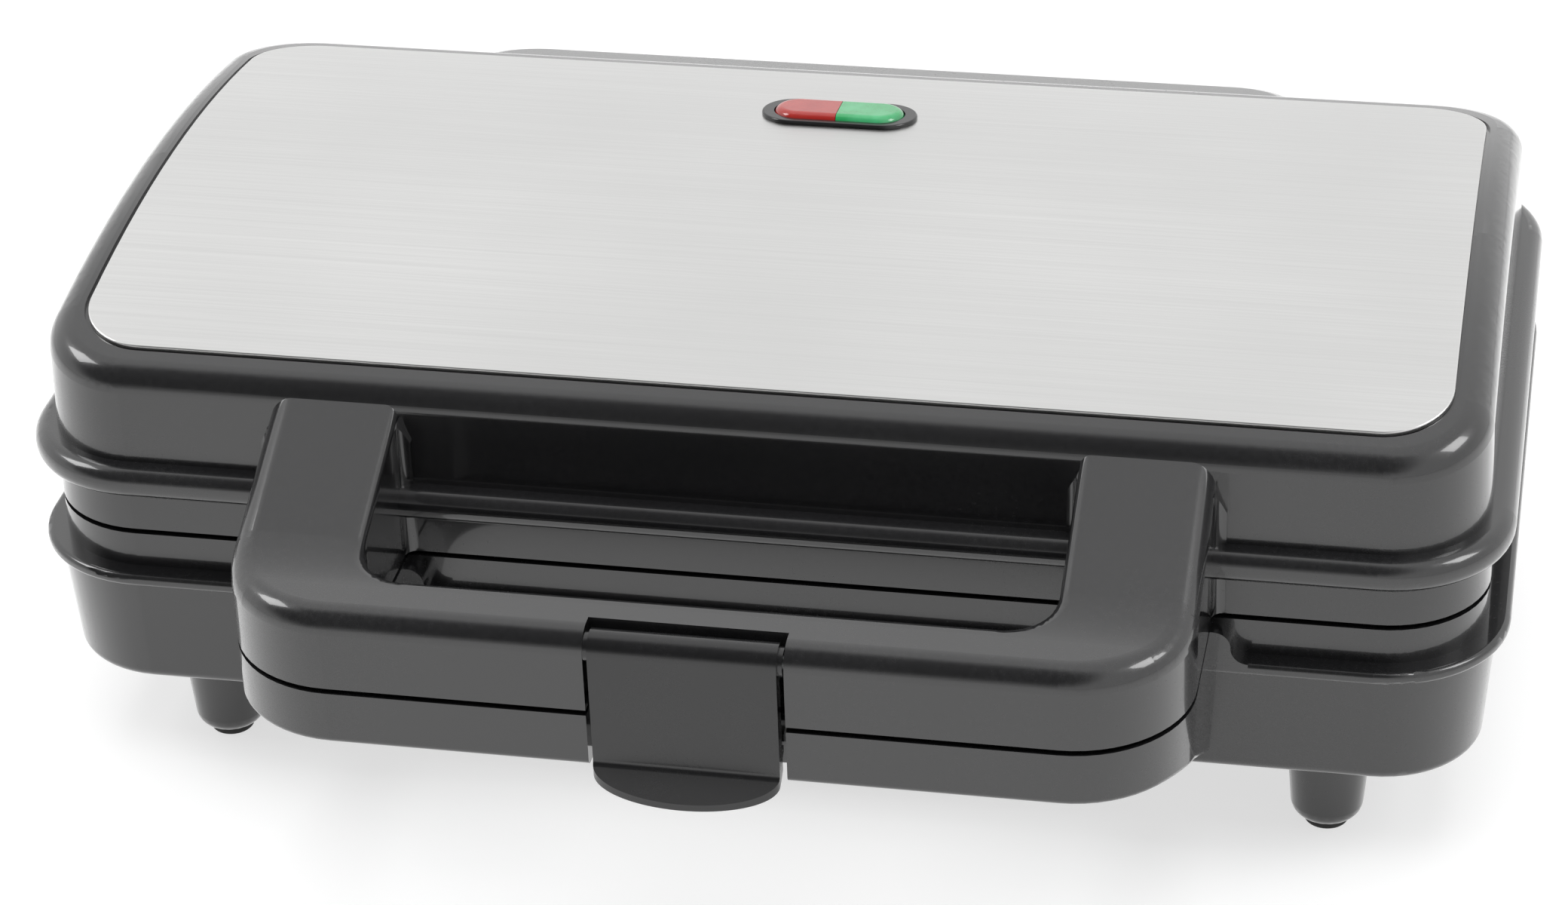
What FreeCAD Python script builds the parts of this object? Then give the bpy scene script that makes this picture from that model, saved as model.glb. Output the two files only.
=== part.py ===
import FreeCAD, Part
import math
import os

from FreeCAD import Vector

# Donut maker: a hinged pair of non-stick ring-mould plates in a moulded casing with a latched handle.
# Millimetres. X runs across the casing, +Y to the hinge at the rear, +Z up from the table.
# Shapes are built about the middle of the casing and moved at export, so that the middle of the whole
# object, latch to hinge hump, stands over the origin.

# Casing, measured at the seam between lid and base
BODY_WIDTH = 251.0
BODY_DEPTH = 134.5
BODY_CORNER = 18.0
SEAM_HEIGHT = 51.0
SEAM_GAP = 1.0
WALL = 2.5

# Lid
LID_RISE = 38.9
LID_DRAFT = 2.0
CROWN_RADIUS = 278.0
SHOULDER_RADIUS = 5.0
BEAD_RISE = 11.0
BEAD_HEIGHT = 5.8
BEAD_REACH = 3.6
BEAD_FLAT = 0.4

# Steel top panel, glued in a shallow recess
PANEL_RIM = 7.75
PANEL_CORNER = 12.0
PANEL_THICKNESS = 0.8
PANEL_PROUD = 0.35
PANEL_GROOVE = 0.7
PANEL_EDGE = 0.3
GLUE_FILM = 0.1

# Base
BAND_HEIGHT = 7.0
FLANGE_THICKNESS = 2.3
FLANGE_REACH = 3.7
FLANGE_EDGE = 1.0
TUB_OVERHANG = 1.5
TUB_DRAFT = 4.2
TUB_UNDERSIDE = 20.0
TUB_EDGE = 2.0
VENT_COUNT = 6
VENT_PITCH = 7.0
VENT_LENGTH = 30.0
VENT_WIDTH = 2.6
VENT_Y = -20.0

# Feet
FOOT_SIDE = 25.9
FOOT_END = 16.35
FOOT_ROOT_DIAMETER = 15.6
FOOT_TIP_DIAMETER = 12.2
FOOT_EDGE = 3.2
PAD_HEIGHT = 1.4
PAD_STEP = 2.2
PAD_EDGE = 0.6
PAD_PLUG_DIAMETER = 4.4
PAD_PLUG_HEIGHT = 4.0

# U-shaped handle, split at the seam
HANDLE_WIDTH = 161.0
HANDLE_REACH = 43.3
HANDLE_CORNER = 20.0
ARM_WIDTH = 22.5
BAR_DEPTH = 12.5
GRIP_CORNER = 9.0
BAR_RISE = 15.0
ARM_ROOT_RISE = 28.0
HANDLE_DROP = 10.4
ARM_ROOT_DROP = 28.0
BAR_FLAT = 15.0
KNEE_RADIUS = 25.0
ARM_ROOT_FILLET = 2.0
ARM_ROOT_TAPER = 4.0
SWEEP_LEDGE = 0.5
SWEEP_DROP = 0.6
HANDLE_EDGE = 4.0
GRIP_EDGE = 2.0
LOWER_EDGE = 1.2

# Latch clip
LATCH_WIDTH = 31.0
LATCH_SIDE_GAP = 1.0
LATCH_PROUD = 1.0
LATCH_PLATE = 2.6
LATCH_BARREL_RADIUS = 3.1
LATCH_PIVOT_RISE = 11.7
LATCH_TAB_REACH = 5.5
LATCH_CREASE_RISE = 1.4
LATCH_TAB_DROP = 2.6
LATCH_TAB_THICKNESS = 1.2
LATCH_TAB_EDGE = 1.0
LATCH_TAB_CREASE = 1.2
LATCH_COLLAR_DIAMETER = 5.0
LATCH_COLLAR_GAP = 0.15
LATCH_PIN_DIAMETER = 2.4
LATCH_CHEEK = 5.0
NOTCH_DEPTH = 5.6
CATCH_REACH = 2.5
CATCH_HEIGHT = 2.5
CATCH_DROP = 1.5
LIP_CLEAR = 0.4
LIP_HEIGHT = 2.4

# Hinge and its hump at the rear of the lid
HUMP_WIDTH = 166.0
HUMP_REACH = 19.75
HUMP_RISE = 27.0
HUMP_FALL = 14.0
HUMP_CORNER = 15.0
HUMP_EDGE = 5.0
HINGE_SETBACK = 9.0
HINGE_OPENING = 100.0
HINGE_STOP_GAP = 0.35
EAR_X = 61.0
EAR_WIDTH = 6.0
EAR_RADIUS = 6.5
EAR_ROOT = 9.0
LUG_RADIUS = 6.0
LUG_WIDTH = 6.0
LUG_SIDE_GAP = 0.4
HINGE_PIN_DIAMETER = 4.0
HINGE_PIN_HEAD = 7.0
HINGE_PIN_HEAD_LENGTH = 1.5

# Cord box on the rear of the base, with the inlet bush
CORD_BOX_WIDTH = 90.0
CORD_BOX_REACH = 17.5
CORD_BOX_BOTTOM = 20.0
CORD_BOX_CORNER = 6.0
INLET_HEIGHT = 29.0
INLET_BODY_DIAMETER = 11.0
INLET_BORE_DIAMETER = 7.4
INLET_FLANGE_DIAMETER = 14.0
INLET_FLANGE = 2.0
INLET_COLLAR_DIAMETER = 13.0
INLET_TAIL = 8.0

# Mould plates
PLATE_CLEAR = 0.6
PLATE_LIFT = 0.1
PLATE_THICKNESS = 2.2
PLATE_CORNER = 14.0
LEDGE_WIDTH = 3.5
LEDGE_HEIGHT = 2.0
MOULD_COLUMNS = 3
MOULD_ROWS = 2
MOULD_SIDE = 50.5
MOULD_END = 38.25
MOULD_GAP = 2.0
RING_HALF_WIDTH = 9.0
RING_STRAIGHT = 2.0
PAN_WALL = 2.0

# Tubular heaters, their clips and heat shields
HEATER_DIAMETER = 6.5
HEATER_PAD_GAP = 0.3
HEATER_PIN_DIAMETER = 2.2
HEATER_PIN_LENGTH = 8.0
CLIP_WIDTH = 8.0
CLIP_SHEET = 0.8
CLIP_EAR = 7.0
CLIP_CLEAR = 0.1
CLIP_PAD_LENGTH = 10.0
RIVET_DIAMETER = 2.6
RIVET_HEAD_DIAMETER = 4.2
RIVET_HEAD_HEIGHT = 1.2
RIVET_DEPTH = 4.0
SHIELD_GAP = 1.7
SHIELD_SHEET = 0.6
SHIELD_SIDE = 21.5
SHIELD_END = 9.25
SHIELD_CORNER = 10.0

# Plate posts, casing bosses and the screws that join them
POST_END = 17.25
POST_DIAMETER = 9.0
BOSS_DIAMETER = 11.0
SCREW_DIAMETER = 3.5
SCREW_HEAD_DIAMETER = 7.0
SCREW_HEAD_HEIGHT = 2.4
SCREW_GRIP = 4.0
SCREW_BITE = 8.0
SCREW_CLEAR = 0.35
THREAD_FIT = 0.02

# Thermostat and thermal fuse on the upper plate
SENSOR_BOSS_LENGTH = 36.0
SENSOR_BOSS_WIDTH = 15.0
SENSOR_BOSS_HEIGHT = 6.0
THERMOSTAT_DIAMETER = 15.0
THERMOSTAT_HEIGHT = 8.0
THERMOSTAT_FLANGE = 1.2
THERMOSTAT_MARGIN = 1.0
THERMOSTAT_SCREW_X = 13.0
SMALL_SCREW_DIAMETER = 2.4
SMALL_HEAD_DIAMETER = 5.0
SMALL_HEAD_HEIGHT = 1.8
BLADE_WIDTH = 6.3
BLADE_SHEET = 0.8
BLADE_HEIGHT = 4.8
BLADE_Y = 5.5
FUSE_DIAMETER = 4.0
FUSE_LENGTH = 12.0
FUSE_LEAD = 5.0
WINDOW_MARGIN = 2.0

# Indicator near the rear of the top panel
INDICATOR_END = 33.4
BEZEL_LENGTH = 29.0
BEZEL_WIDTH = 12.4
BEZEL_LIP = 0.5
BEZEL_LIP_HEIGHT = 0.7
BEZEL_DEPTH = 8.5
LENS_END_RIM = 2.4
LENS_SIDE_RIM = 1.5
LENS_DEPTH = 4.5
LENS_CROWN = 1.6
LENS_DOME = 1.5
LENS_LEDGE = 0.8
LENS_GAP = 0.1
FIT_CLEAR = 0.15
LAMP_DIAMETER = 4.4
LAMP_HEIGHT = 3.0
BOARD_END = 8.5
BOARD_WIDTH = 12.0
BOARD_SHEET = 1.6
BOARD_CORNER = 1.0
BOARD_SCREW_END = 3.5
BOARD_BOSS_DIAMETER = 6.0

# Wiring inside the casing
WIRE_DIAMETER = 2.4
WIRE_BEND = 2.4
WIRE_RUN = 2.1
WIRE_GAP = 0.5
GROMMET_X = 30.0
GROMMET_RISE = 11.0
GROMMET_DIAMETER = 8.0
GROMMET_FLANGE_DIAMETER = 11.0
GROMMET_FLANGE = 1.2
TERMINAL_LENGTH = 40.0
TERMINAL_WIDTH = 14.0
TERMINAL_HEIGHT = 10.0
TERMINAL_CLEAR = 1.25
TERMINAL_PITCH = 12.0
TERMINAL_WELL_DIAMETER = 5.6
TERMINAL_WELL_DEPTH = 3.0
DRIVE_SLOT_WIDTH = 0.8
DRIVE_SLOT_DEPTH = 0.8
EARTH_X = 60.0
EARTH_TAG_DIAMETER = 8.0
EARTH_TAG_SHEET = 1.0
EARTH_LUG = 1.5
CLAMP_END = 13.75
CLAMP_SCREW_X = 9.0
CLAMP_WIDTH = 6.0
CLAMP_SHEET = 2.4
CLAMP_POST_DIAMETER = 6.0
CORD_DIAMETER = 7.0
CORD_SQUEEZE = 1.0

# Fits between pieces that move or are pressed together
PIN_PRESS = 0.02
PIN_RUNNING = 0.05

# Depth by which joined solids run into each other, room past a screw's end, and how near counts as on a face
OVERLAP = 1.0
HOLE_SPARE = 1.0
NEAR = 0.05

# Heights and places that follow from the sizes above
UP = Vector(0, 0, 1)
ACROSS = Vector(1, 0, 0)
BACK = Vector(0, 1, 0)
HALF_WIDTH = BODY_WIDTH / 2
HALF_DEPTH = BODY_DEPTH / 2
LID_BOTTOM = SEAM_HEIGHT + SEAM_GAP / 2
BASE_TOP = SEAM_HEIGHT - SEAM_GAP / 2
LID_TOP = SEAM_HEIGHT + LID_RISE
LID_SLOPE = math.tan(math.radians(LID_DRAFT))
TUB_SLOPE = math.tan(math.radians(TUB_DRAFT))
BAND_BOTTOM = SEAM_HEIGHT - BAND_HEIGHT
FLANGE_BOTTOM = BAND_BOTTOM - FLANGE_THICKNESS
TUB_FLOOR = TUB_UNDERSIDE + WALL
FOOT_X = HALF_WIDTH - FOOT_SIDE
FOOT_Y = HALF_DEPTH - FOOT_END
HANDLE_FRONT = -HALF_DEPTH - HANDLE_REACH
GRIP_HALF = HANDLE_WIDTH / 2 - ARM_WIDTH
HANDLE_BOTTOM = SEAM_HEIGHT - HANDLE_DROP
HINGE_Y = HALF_DEPTH + HINGE_SETBACK
HUMP_REAR = HALF_DEPTH + HUMP_REACH
HUMP_FRONT = HALF_DEPTH - 2 * WALL
HUMP_SLOPE = math.tan(math.radians(HUMP_FALL))
CORD_BOX_REAR = HALF_DEPTH + CORD_BOX_REACH
PLATE_FACE = SEAM_HEIGHT + PLATE_LIFT
PLATE_BACK = PLATE_FACE + PLATE_THICKNESS
PLATE_HALF_WIDTH = HALF_WIDTH - WALL - PLATE_CLEAR
PLATE_HALF_DEPTH = HALF_DEPTH - WALL - PLATE_CLEAR
MOULD_PITCH_X = HALF_WIDTH - MOULD_SIDE
MOULD_PITCH_Y = 2 * (HALF_DEPTH - MOULD_END)
RING_RADIUS = MOULD_PITCH_Y / 2 - MOULD_GAP / 2 - PAN_WALL - RING_HALF_WIDTH
PAN_RADIUS = RING_HALF_WIDTH + PAN_WALL
PAN_CREST = PLATE_FACE + RING_STRAIGHT + PAN_RADIUS
HEATER_PAD = PAN_CREST + HEATER_PAD_GAP
HEATER_Z = HEATER_PAD + HEATER_DIAMETER / 2
HEATER_Y = MOULD_PITCH_Y / 2
SHIELD_HALF_WIDTH = HALF_WIDTH - SHIELD_SIDE
SHIELD_HALF_DEPTH = HALF_DEPTH - SHIELD_END
HEATER_END_X = SHIELD_HALF_WIDTH
SHIELD_UNDER = HEATER_PAD + HEATER_DIAMETER + CLIP_CLEAR + CLIP_SHEET + SHIELD_GAP
SHIELD_TOP = SHIELD_UNDER + SHIELD_SHEET
SCREW_SEAT = SHIELD_TOP + SCREW_GRIP
BETWEEN_X = MOULD_PITCH_X / 2
POST_Y = HALF_DEPTH - POST_END
WIRE_X = HEATER_END_X + HEATER_PIN_LENGTH + WIRE_BEND + WIRE_RUN
INDICATOR_Y = HALF_DEPTH - INDICATOR_END
LENS_LENGTH = BEZEL_LENGTH - 2 * LENS_END_RIM
LENS_WIDTH = BEZEL_WIDTH - 2 * LENS_SIDE_RIM
BOARD_LENGTH = BEZEL_LENGTH + 2 * BOARD_END
BOARD_SCREW_X = BOARD_LENGTH / 2 - BOARD_SCREW_END
TERMINAL_Y = HEATER_Y + HEATER_DIAMETER / 2 + TERMINAL_CLEAR + TERMINAL_WIDTH / 2
BASE_WIRE_Z = (TUB_FLOOR + 2 * SEAM_HEIGHT - SHIELD_TOP) / 2
CLAMP_Y = HALF_DEPTH - CLAMP_END
SENSOR_SEAT = PLATE_BACK + SENSOR_BOSS_HEIGHT
LATCH_PIVOT = Vector(0, HANDLE_FRONT - LATCH_PROUD + LATCH_BARREL_RADIUS, SEAM_HEIGHT + LATCH_PIVOT_RISE)
LATCH_TIP = HANDLE_FRONT - LATCH_PROUD - LATCH_TAB_REACH
Y_SHIFT = -(LATCH_TIP + max(HUMP_REAR, CORD_BOX_REAR + INLET_FLANGE)) / 2


def block(x0, x1, y0, y1, z0, z1):
    """Plain box between two opposite corners."""
    return Part.makeBox(x1 - x0, y1 - y0, z1 - z0, Vector(x0, y0, z0))


def rod(diameter, start, direction, length):
    """Round bar from a start point along a direction."""
    return Part.makeCylinder(diameter / 2, length, start, direction)


def rounded_outline(half_x, half_y, radius, z):
    """Closed rounded rectangle about the middle of the casing at height z."""
    corners = [(1, 1), (-1, 1), (-1, -1), (1, -1)]
    arcs = []
    for index, (side_x, side_y) in enumerate(corners):
        centre = Vector(side_x * (half_x - radius), side_y * (half_y - radius), z)
        arcs.append(Part.makeCircle(radius, centre, UP, 90 * index, 90 * (index + 1)))
    edges = []
    for arc, following in zip(arcs, arcs[1:] + arcs[:1]):
        edges.append(arc)
        start, end = arc.valueAt(arc.LastParameter), following.valueAt(following.FirstParameter)
        edges.append(Part.makeLine(start, end))
    return Part.Wire(edges)


def rounded_slab(half_x, half_y, radius, z0, z1):
    """Upright prism on a rounded rectangle."""
    return Part.Face(rounded_outline(half_x, half_y, radius, z0)).extrude(Vector(0, 0, z1 - z0))


def drafted_slab(half_x, half_y, radius, z0, z1, slope):
    """Rounded prism whose walls lean in by slope for each unit of height away from z0."""
    inset = slope * abs(z1 - z0)
    far = rounded_outline(half_x - inset, half_y - inset, radius - inset, z1)
    return Part.makeLoft([rounded_outline(half_x, half_y, radius, z0), far], True, True)


def side_profile(points, half_x):
    """Prism across X on an outline given as (y, z) points."""
    outline = Part.makePolygon([Vector(-half_x, y, z) for y, z in points + points[:1]])
    return Part.Face(outline).extrude(Vector(2 * half_x, 0, 0))


def stadium(length, width, z0, z1):
    """Upright prism with half-round ends, long across X."""
    radius = width / 2
    half = length / 2 - radius
    right = Part.makeCircle(radius, Vector(half, 0, z0), UP, -90, 90)
    left = Part.makeCircle(radius, Vector(-half, 0, z0), UP, 90, 270)
    back = Part.makeLine(Vector(half, radius, z0), Vector(-half, radius, z0))
    front = Part.makeLine(Vector(-half, -radius, z0), Vector(half, -radius, z0))
    return Part.Face(Part.Wire([right, back, left, front])).extrude(Vector(0, 0, z1 - z0))


def upright_edges(shape, y):
    """Vertical edges of a prism that stand at one y."""
    found = []
    for edge in shape.Edges:
        box = edge.BoundBox
        if box.XLength < 1e-6 and abs(box.YMin - y) < 1e-6 and abs(box.YMax - y) < 1e-6:
            found.append(edge)
    return found


def edges_inside(shape, x0, x1, y0, y1, z0, z1):
    """Edges that lie wholly inside a box."""
    found = []
    for edge in shape.Edges:
        box = edge.BoundBox
        inside_plan = box.XMin >= x0 and box.XMax <= x1 and box.YMin >= y0 and box.YMax <= y1
        if inside_plan and box.ZMin >= z0 and box.ZMax <= z1:
            found.append(edge)
    return found


def flip(shape):
    """The same stack turned over about the seam, for the base."""
    return shape.mirror(Vector(0, 0, SEAM_HEIGHT), UP)


def export(name, *solids):
    """Write one node, moved so that the whole object is centred over the origin."""
    shape = solids[0] if len(solids) == 1 else Part.makeCompound(list(solids))
    shape = shape.copy()
    shape.translate(Vector(0, Y_SHIFT, 0))
    shape.exportStep("parts/" + name + ".step")
    valid = shape.isValid() and all(solid.Volume > 0 for solid in shape.Solids)
    print(name, "solids", len(shape.Solids), "volume", round(shape.Volume, 1), "valid", valid)


def under_crown(offset):
    """Everything under the crowned top, raised by offset."""
    start = Vector(-BODY_WIDTH, 0, LID_TOP - CROWN_RADIUS)
    return Part.makeCylinder(CROWN_RADIUS + offset, 2 * BODY_WIDTH, start, ACROSS)


def casing_plan(inset):
    """Half width, half depth and corner radius of the casing, moved in by inset."""
    return HALF_WIDTH - inset, HALF_DEPTH - inset, BODY_CORNER - inset


def mould_places():
    """Middle of each ring mould in plan."""
    places = []
    for column in range(MOULD_COLUMNS):
        for row in range(MOULD_ROWS):
            x = (column - (MOULD_COLUMNS - 1) / 2) * MOULD_PITCH_X
            y = (row - (MOULD_ROWS - 1) / 2) * MOULD_PITCH_Y
            places.append((x, y))
    return places


def post_places():
    """Middle of each plate post and casing boss in plan."""
    return [(side_x * BETWEEN_X, side_y * POST_Y) for side_x in (-1, 1) for side_y in (-1, 1)]


def clip_places():
    """Middle of each heater clip in plan."""
    return [(side_x * BETWEEN_X, side_y * HEATER_Y) for side_x in (-1, 1) for side_y in (-1, 1)]


def handle_plan(inset, z0, z1):
    """U of the handle in plan, its walls moved in by inset, running back into the casing."""
    root = -HALF_DEPTH + 2 * WALL + TUB_SLOPE * ARM_ROOT_DROP
    half = HANDLE_WIDTH / 2 - inset
    front = HANDLE_FRONT + inset
    outer = block(-half, half, front, root, z0, z1)
    outer = outer.makeFillet(HANDLE_CORNER - inset, upright_edges(outer, front))
    grip_half = GRIP_HALF + inset
    grip_front = HANDLE_FRONT + BAR_DEPTH - inset
    grip = block(-grip_half, grip_half, grip_front, root, z0, z1)
    grip = grip.makeFillet(GRIP_CORNER + inset, upright_edges(grip, grip_front))
    return outer.cut(grip)


def handle_profile(bar_rise, root_rise, drop):
    """Side shape of a handle half above the seam: a flat bar, then arms that rise to the casing."""
    knee_y = HANDLE_FRONT + BAR_FLAT
    bar_z = SEAM_HEIGHT + bar_rise - drop
    root_z = SEAM_HEIGHT + root_rise - drop
    climb = (root_z - bar_z) / (-HALF_DEPTH - knee_y)
    points = [(HANDLE_FRONT - WALL, LID_BOTTOM), (HANDLE_FRONT - WALL, bar_z), (knee_y, bar_z)]
    points += [(0, bar_z - climb * knee_y), (0, LID_BOTTOM)]
    profile = side_profile(points, HANDLE_WIDTH)
    across = (-HANDLE_WIDTH, HANDLE_WIDTH)
    knee = edges_inside(profile, *across, knee_y - NEAR, knee_y + NEAR, bar_z - NEAR, bar_z + NEAR)
    return profile.makeFillet(KNEE_RADIUS, knee)


def arm_sides():
    """Each side face of the arms, as its x and the direction that it faces."""
    faces = []
    for side in (-1, 1):
        faces += [(side * HANDLE_WIDTH / 2, side), (side * GRIP_HALF, -side)]
    return faces


def arm_root_fillets():
    """Hollow corners between the arms' sides and the lid wall, each with a pointed top."""
    front = -HALF_DEPTH - ARM_ROOT_FILLET
    corners = []
    for x, facing in arm_sides():
        edge = GRIP_EDGE if abs(x) < GRIP_HALF + NEAR else HANDLE_EDGE
        top = SEAM_HEIGHT + ARM_ROOT_RISE - edge
        inner, outer = x - facing * ARM_ROOT_FILLET, x + facing * ARM_ROOT_FILLET
        places = [(inner, LID_BOTTOM), (outer, LID_BOTTOM), (outer, top - ARM_ROOT_TAPER)]
        places += [(x, top), (inner, top)]
        outline = Part.makePolygon([Vector(place_x, front, z) for place_x, z in places + places[:1]])
        corner = Part.Face(outline).extrude(BACK * (ARM_ROOT_FILLET + WALL))
        axis = Vector(outer, front, LID_BOTTOM)
        corners.append(corner.cut(rod(2 * ARM_ROOT_FILLET, axis, UP, top - LID_BOTTOM)))
    return corners


def top_edges(shape, floor):
    """Edges of a handle half's top outline above floor, as an outer list and a grip-opening list."""
    outer_edges, grip_edges = [], []
    for edge in shape.Edges:
        box = edge.BoundBox
        middle = edge.valueAt((edge.FirstParameter + edge.LastParameter) / 2)
        along_bar = box.YLength < 1e-6
        bar_back = HANDLE_FRONT + BAR_DEPTH
        on_bar_side = abs(middle.y - HANDLE_FRONT) < NEAR or abs(middle.y - bar_back) < NEAR
        if box.ZMin < floor or along_bar and not on_bar_side:
            continue
        on_grip = abs(middle.x) < GRIP_HALF + NEAR and middle.y > bar_back - NEAR
        (grip_edges if on_grip else outer_edges).append(edge)
    return outer_edges, grip_edges


def handle_half(bar_rise, root_rise, outer_edge, grip_edge):
    """One half of the handle, rising from the seam, with the far edges outside and at the grip rounded."""
    top = SEAM_HEIGHT + 2 * root_rise
    shape = handle_profile(bar_rise, root_rise, 0).common(handle_plan(0, LID_BOTTOM, top))
    floor = SEAM_HEIGHT + bar_rise - NEAR
    shape = shape.makeFillet(outer_edge, top_edges(shape, floor)[0])
    return shape.makeFillet(grip_edge, top_edges(shape, floor)[1])


def upper_handle():
    """Upper half of the handle, with the fillets that join its arms to the lid."""
    below = handle_profile(BAR_RISE, ARM_ROOT_RISE, GRIP_EDGE)
    fillets = [corner.common(below) for corner in arm_root_fillets()]
    return handle_half(BAR_RISE, ARM_ROOT_RISE, HANDLE_EDGE, GRIP_EDGE).fuse(fillets)


def lower_handle():
    """Lower half of the handle, turned over from the same form, its edges crisper."""
    return flip(handle_half(HANDLE_DROP, ARM_ROOT_DROP, LOWER_EDGE, LOWER_EDGE))


def flange_sweep(x, facing):
    """Web beside an arm where the base flange sweeps up to the seam in an S curve."""
    top = BASE_TOP - SWEEP_DROP
    rise = (top - BAND_BOTTOM) / 2
    y = -HALF_DEPTH - FLANGE_REACH
    plateau = x + facing * SWEEP_LEDGE
    middle = Vector(plateau + facing * rise, y, top - rise)
    start, end = Vector(plateau, y, top), Vector(plateau + 2 * facing * rise, y, BAND_BOTTOM)
    bow = rise * math.sin(math.radians(45))
    upper = Part.Arc(start, Vector(plateau + facing * bow, y, top - rise + bow), middle).toShape()
    lower = Part.Arc(middle, Vector(end.x - facing * bow, y, BAND_BOTTOM + rise - bow), end).toShape()
    inside = x - facing * ARM_WIDTH / 2
    corners = [end, end - UP * FLANGE_EDGE, Vector(inside, y, BAND_BOTTOM - FLANGE_EDGE)]
    corners += [Vector(inside, y, top), start]
    edges = [upper, lower] + [Part.makeLine(a, b) for a, b in zip(corners, corners[1:])]
    return Part.Face(Part.Wire(edges)).extrude(BACK * (FLANGE_REACH + WALL))


def handle_core(z0, z1):
    """Solid middle of the handle bar, which carries the latch."""
    half = LATCH_WIDTH / 2 + LATCH_SIDE_GAP + LATCH_CHEEK
    return block(-half, half, HANDLE_FRONT, HANDLE_FRONT + BAR_DEPTH, z0, z1)


def handle_hollow(bar_rise, root_rise):
    """Room inside one handle half's walls, open at the seam, stopped at the casing and at the latch."""
    z0, z1 = LID_BOTTOM - WALL, SEAM_HEIGHT + 2 * root_rise
    room = handle_plan(WALL, z0, z1).cut(handle_core(z0, z1))
    room = room.common(block(-HANDLE_WIDTH, HANDLE_WIDTH, HANDLE_FRONT, -HALF_DEPTH - WALL, z0, z1))
    profile = handle_profile(bar_rise, root_rise, WALL)
    mouth = block(-HANDLE_WIDTH, HANDLE_WIDTH, HANDLE_FRONT, -HALF_DEPTH, z0, LID_BOTTOM)
    return room.common(profile.fuse(mouth))


def latch_notch(z0, z1):
    """Notch in the handle's front that the latch clip lies in."""
    half = LATCH_WIDTH / 2 + LATCH_SIDE_GAP
    return block(-half, half, HANDLE_FRONT - WALL, HANDLE_FRONT + NOTCH_DEPTH, z0, z1)


def lid_skin():
    """Outer form of the lid: drafted walls, crowned top with a rounded shoulder, and the bead."""
    reach = LID_TOP + SHOULDER_RADIUS - LID_BOTTOM
    walls = drafted_slab(*casing_plan(0), LID_BOTTOM, LID_BOTTOM + reach, LID_SLOPE)
    walls = walls.common(under_crown(0))
    far = 2 * BODY_WIDTH
    shoulder = edges_inside(walls, -far, far, -far, far, SEAM_HEIGHT + ARM_ROOT_RISE, far)
    walls = walls.makeFillet(SHOULDER_RADIUS, shoulder)
    bead_z = SEAM_HEIGHT + BEAD_RISE - BEAD_HEIGHT / 2
    bead = rounded_slab(*casing_plan(-BEAD_REACH), bead_z, bead_z + BEAD_HEIGHT)
    level = [edge for edge in bead.Edges if edge.BoundBox.ZLength < 1e-6]
    return walls.fuse(bead.makeFillet((BEAD_HEIGHT - BEAD_FLAT) / 2, level))


def lid_room():
    """Room inside the lid's walls: the plate opening, the ledge and the space above it."""
    ledge_top = PLATE_BACK + LEDGE_HEIGHT
    opening = rounded_slab(*casing_plan(WALL), LID_BOTTOM - WALL, PLATE_BACK)
    throat = rounded_slab(*casing_plan(WALL + LEDGE_WIDTH), PLATE_BACK, ledge_top)
    inset = WALL + LID_SLOPE * (ledge_top - LID_BOTTOM)
    space = drafted_slab(*casing_plan(inset), ledge_top, LID_TOP, LID_SLOPE)
    return opening.fuse([throat, space.common(under_crown(-WALL - PANEL_THICKNESS))])


def hump_top(y):
    """Height of the hump's sloped top."""
    return SEAM_HEIGHT + HUMP_RISE - HUMP_SLOPE * (y - HALF_DEPTH)


def hump(inset, z0):
    """Hinge hump behind the lid, its walls and its sloped top moved in by inset."""
    rear = HUMP_REAR - inset
    points = [(HUMP_FRONT, z0), (rear, z0)]
    points += [(y, hump_top(y) - inset) for y in (rear, HUMP_FRONT)]
    shape = side_profile(points, HUMP_WIDTH / 2 - inset)
    return shape.makeFillet(HUMP_CORNER - inset, upright_edges(shape, rear))


def hump_skin():
    """Outer form of the hump with its top edge rounded."""
    shape = hump(0, LID_BOTTOM)
    rim = []
    for edge in shape.Edges:
        middle = edge.valueAt((edge.FirstParameter + edge.LastParameter) / 2)
        on_top = abs(middle.z - hump_top(middle.y)) < NEAR
        if on_top and edge.BoundBox.YMax > HUMP_FRONT + NEAR:
            rim.append(edge)
    return shape.makeFillet(HUMP_EDGE, rim)


def hump_room():
    """Room inside the hump, behind the lid's rear wall and open below."""
    room = hump(WALL, LID_BOTTOM - WALL)
    return room.common(block(-HUMP_WIDTH, HUMP_WIDTH, HALF_DEPTH, HUMP_REAR, 0, LID_TOP))


def lug_start(side):
    """Inner face of the lid's hinge lug on one side."""
    return side * (EAR_X + EAR_WIDTH / 2 + LUG_SIDE_GAP)


def hinge_lug(side):
    """Lug inside the hump that turns on a hinge pin."""
    near, far = HINGE_Y - LUG_RADIUS, HINGE_Y + LUG_RADIUS
    points = [(near, SEAM_HEIGHT), (far, SEAM_HEIGHT)]
    points += [(y, hump_top(y) - WALL + OVERLAP) for y in (far, near)]
    cheek = side_profile(points, LUG_WIDTH / 2)
    middle = lug_start(side) + side * LUG_WIDTH / 2
    cheek.translate(ACROSS * middle)
    start = Vector(middle - LUG_WIDTH / 2, HINGE_Y, SEAM_HEIGHT)
    return cheek.fuse(rod(2 * LUG_RADIUS, start, ACROSS, LUG_WIDTH))


def panel_outline(margin, z0, z1):
    """Upright prism on the steel panel's outline, grown by margin."""
    inset = PANEL_RIM - margin
    return rounded_slab(HALF_WIDTH - inset, HALF_DEPTH - inset, PANEL_CORNER + margin, z0, z1)


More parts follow.
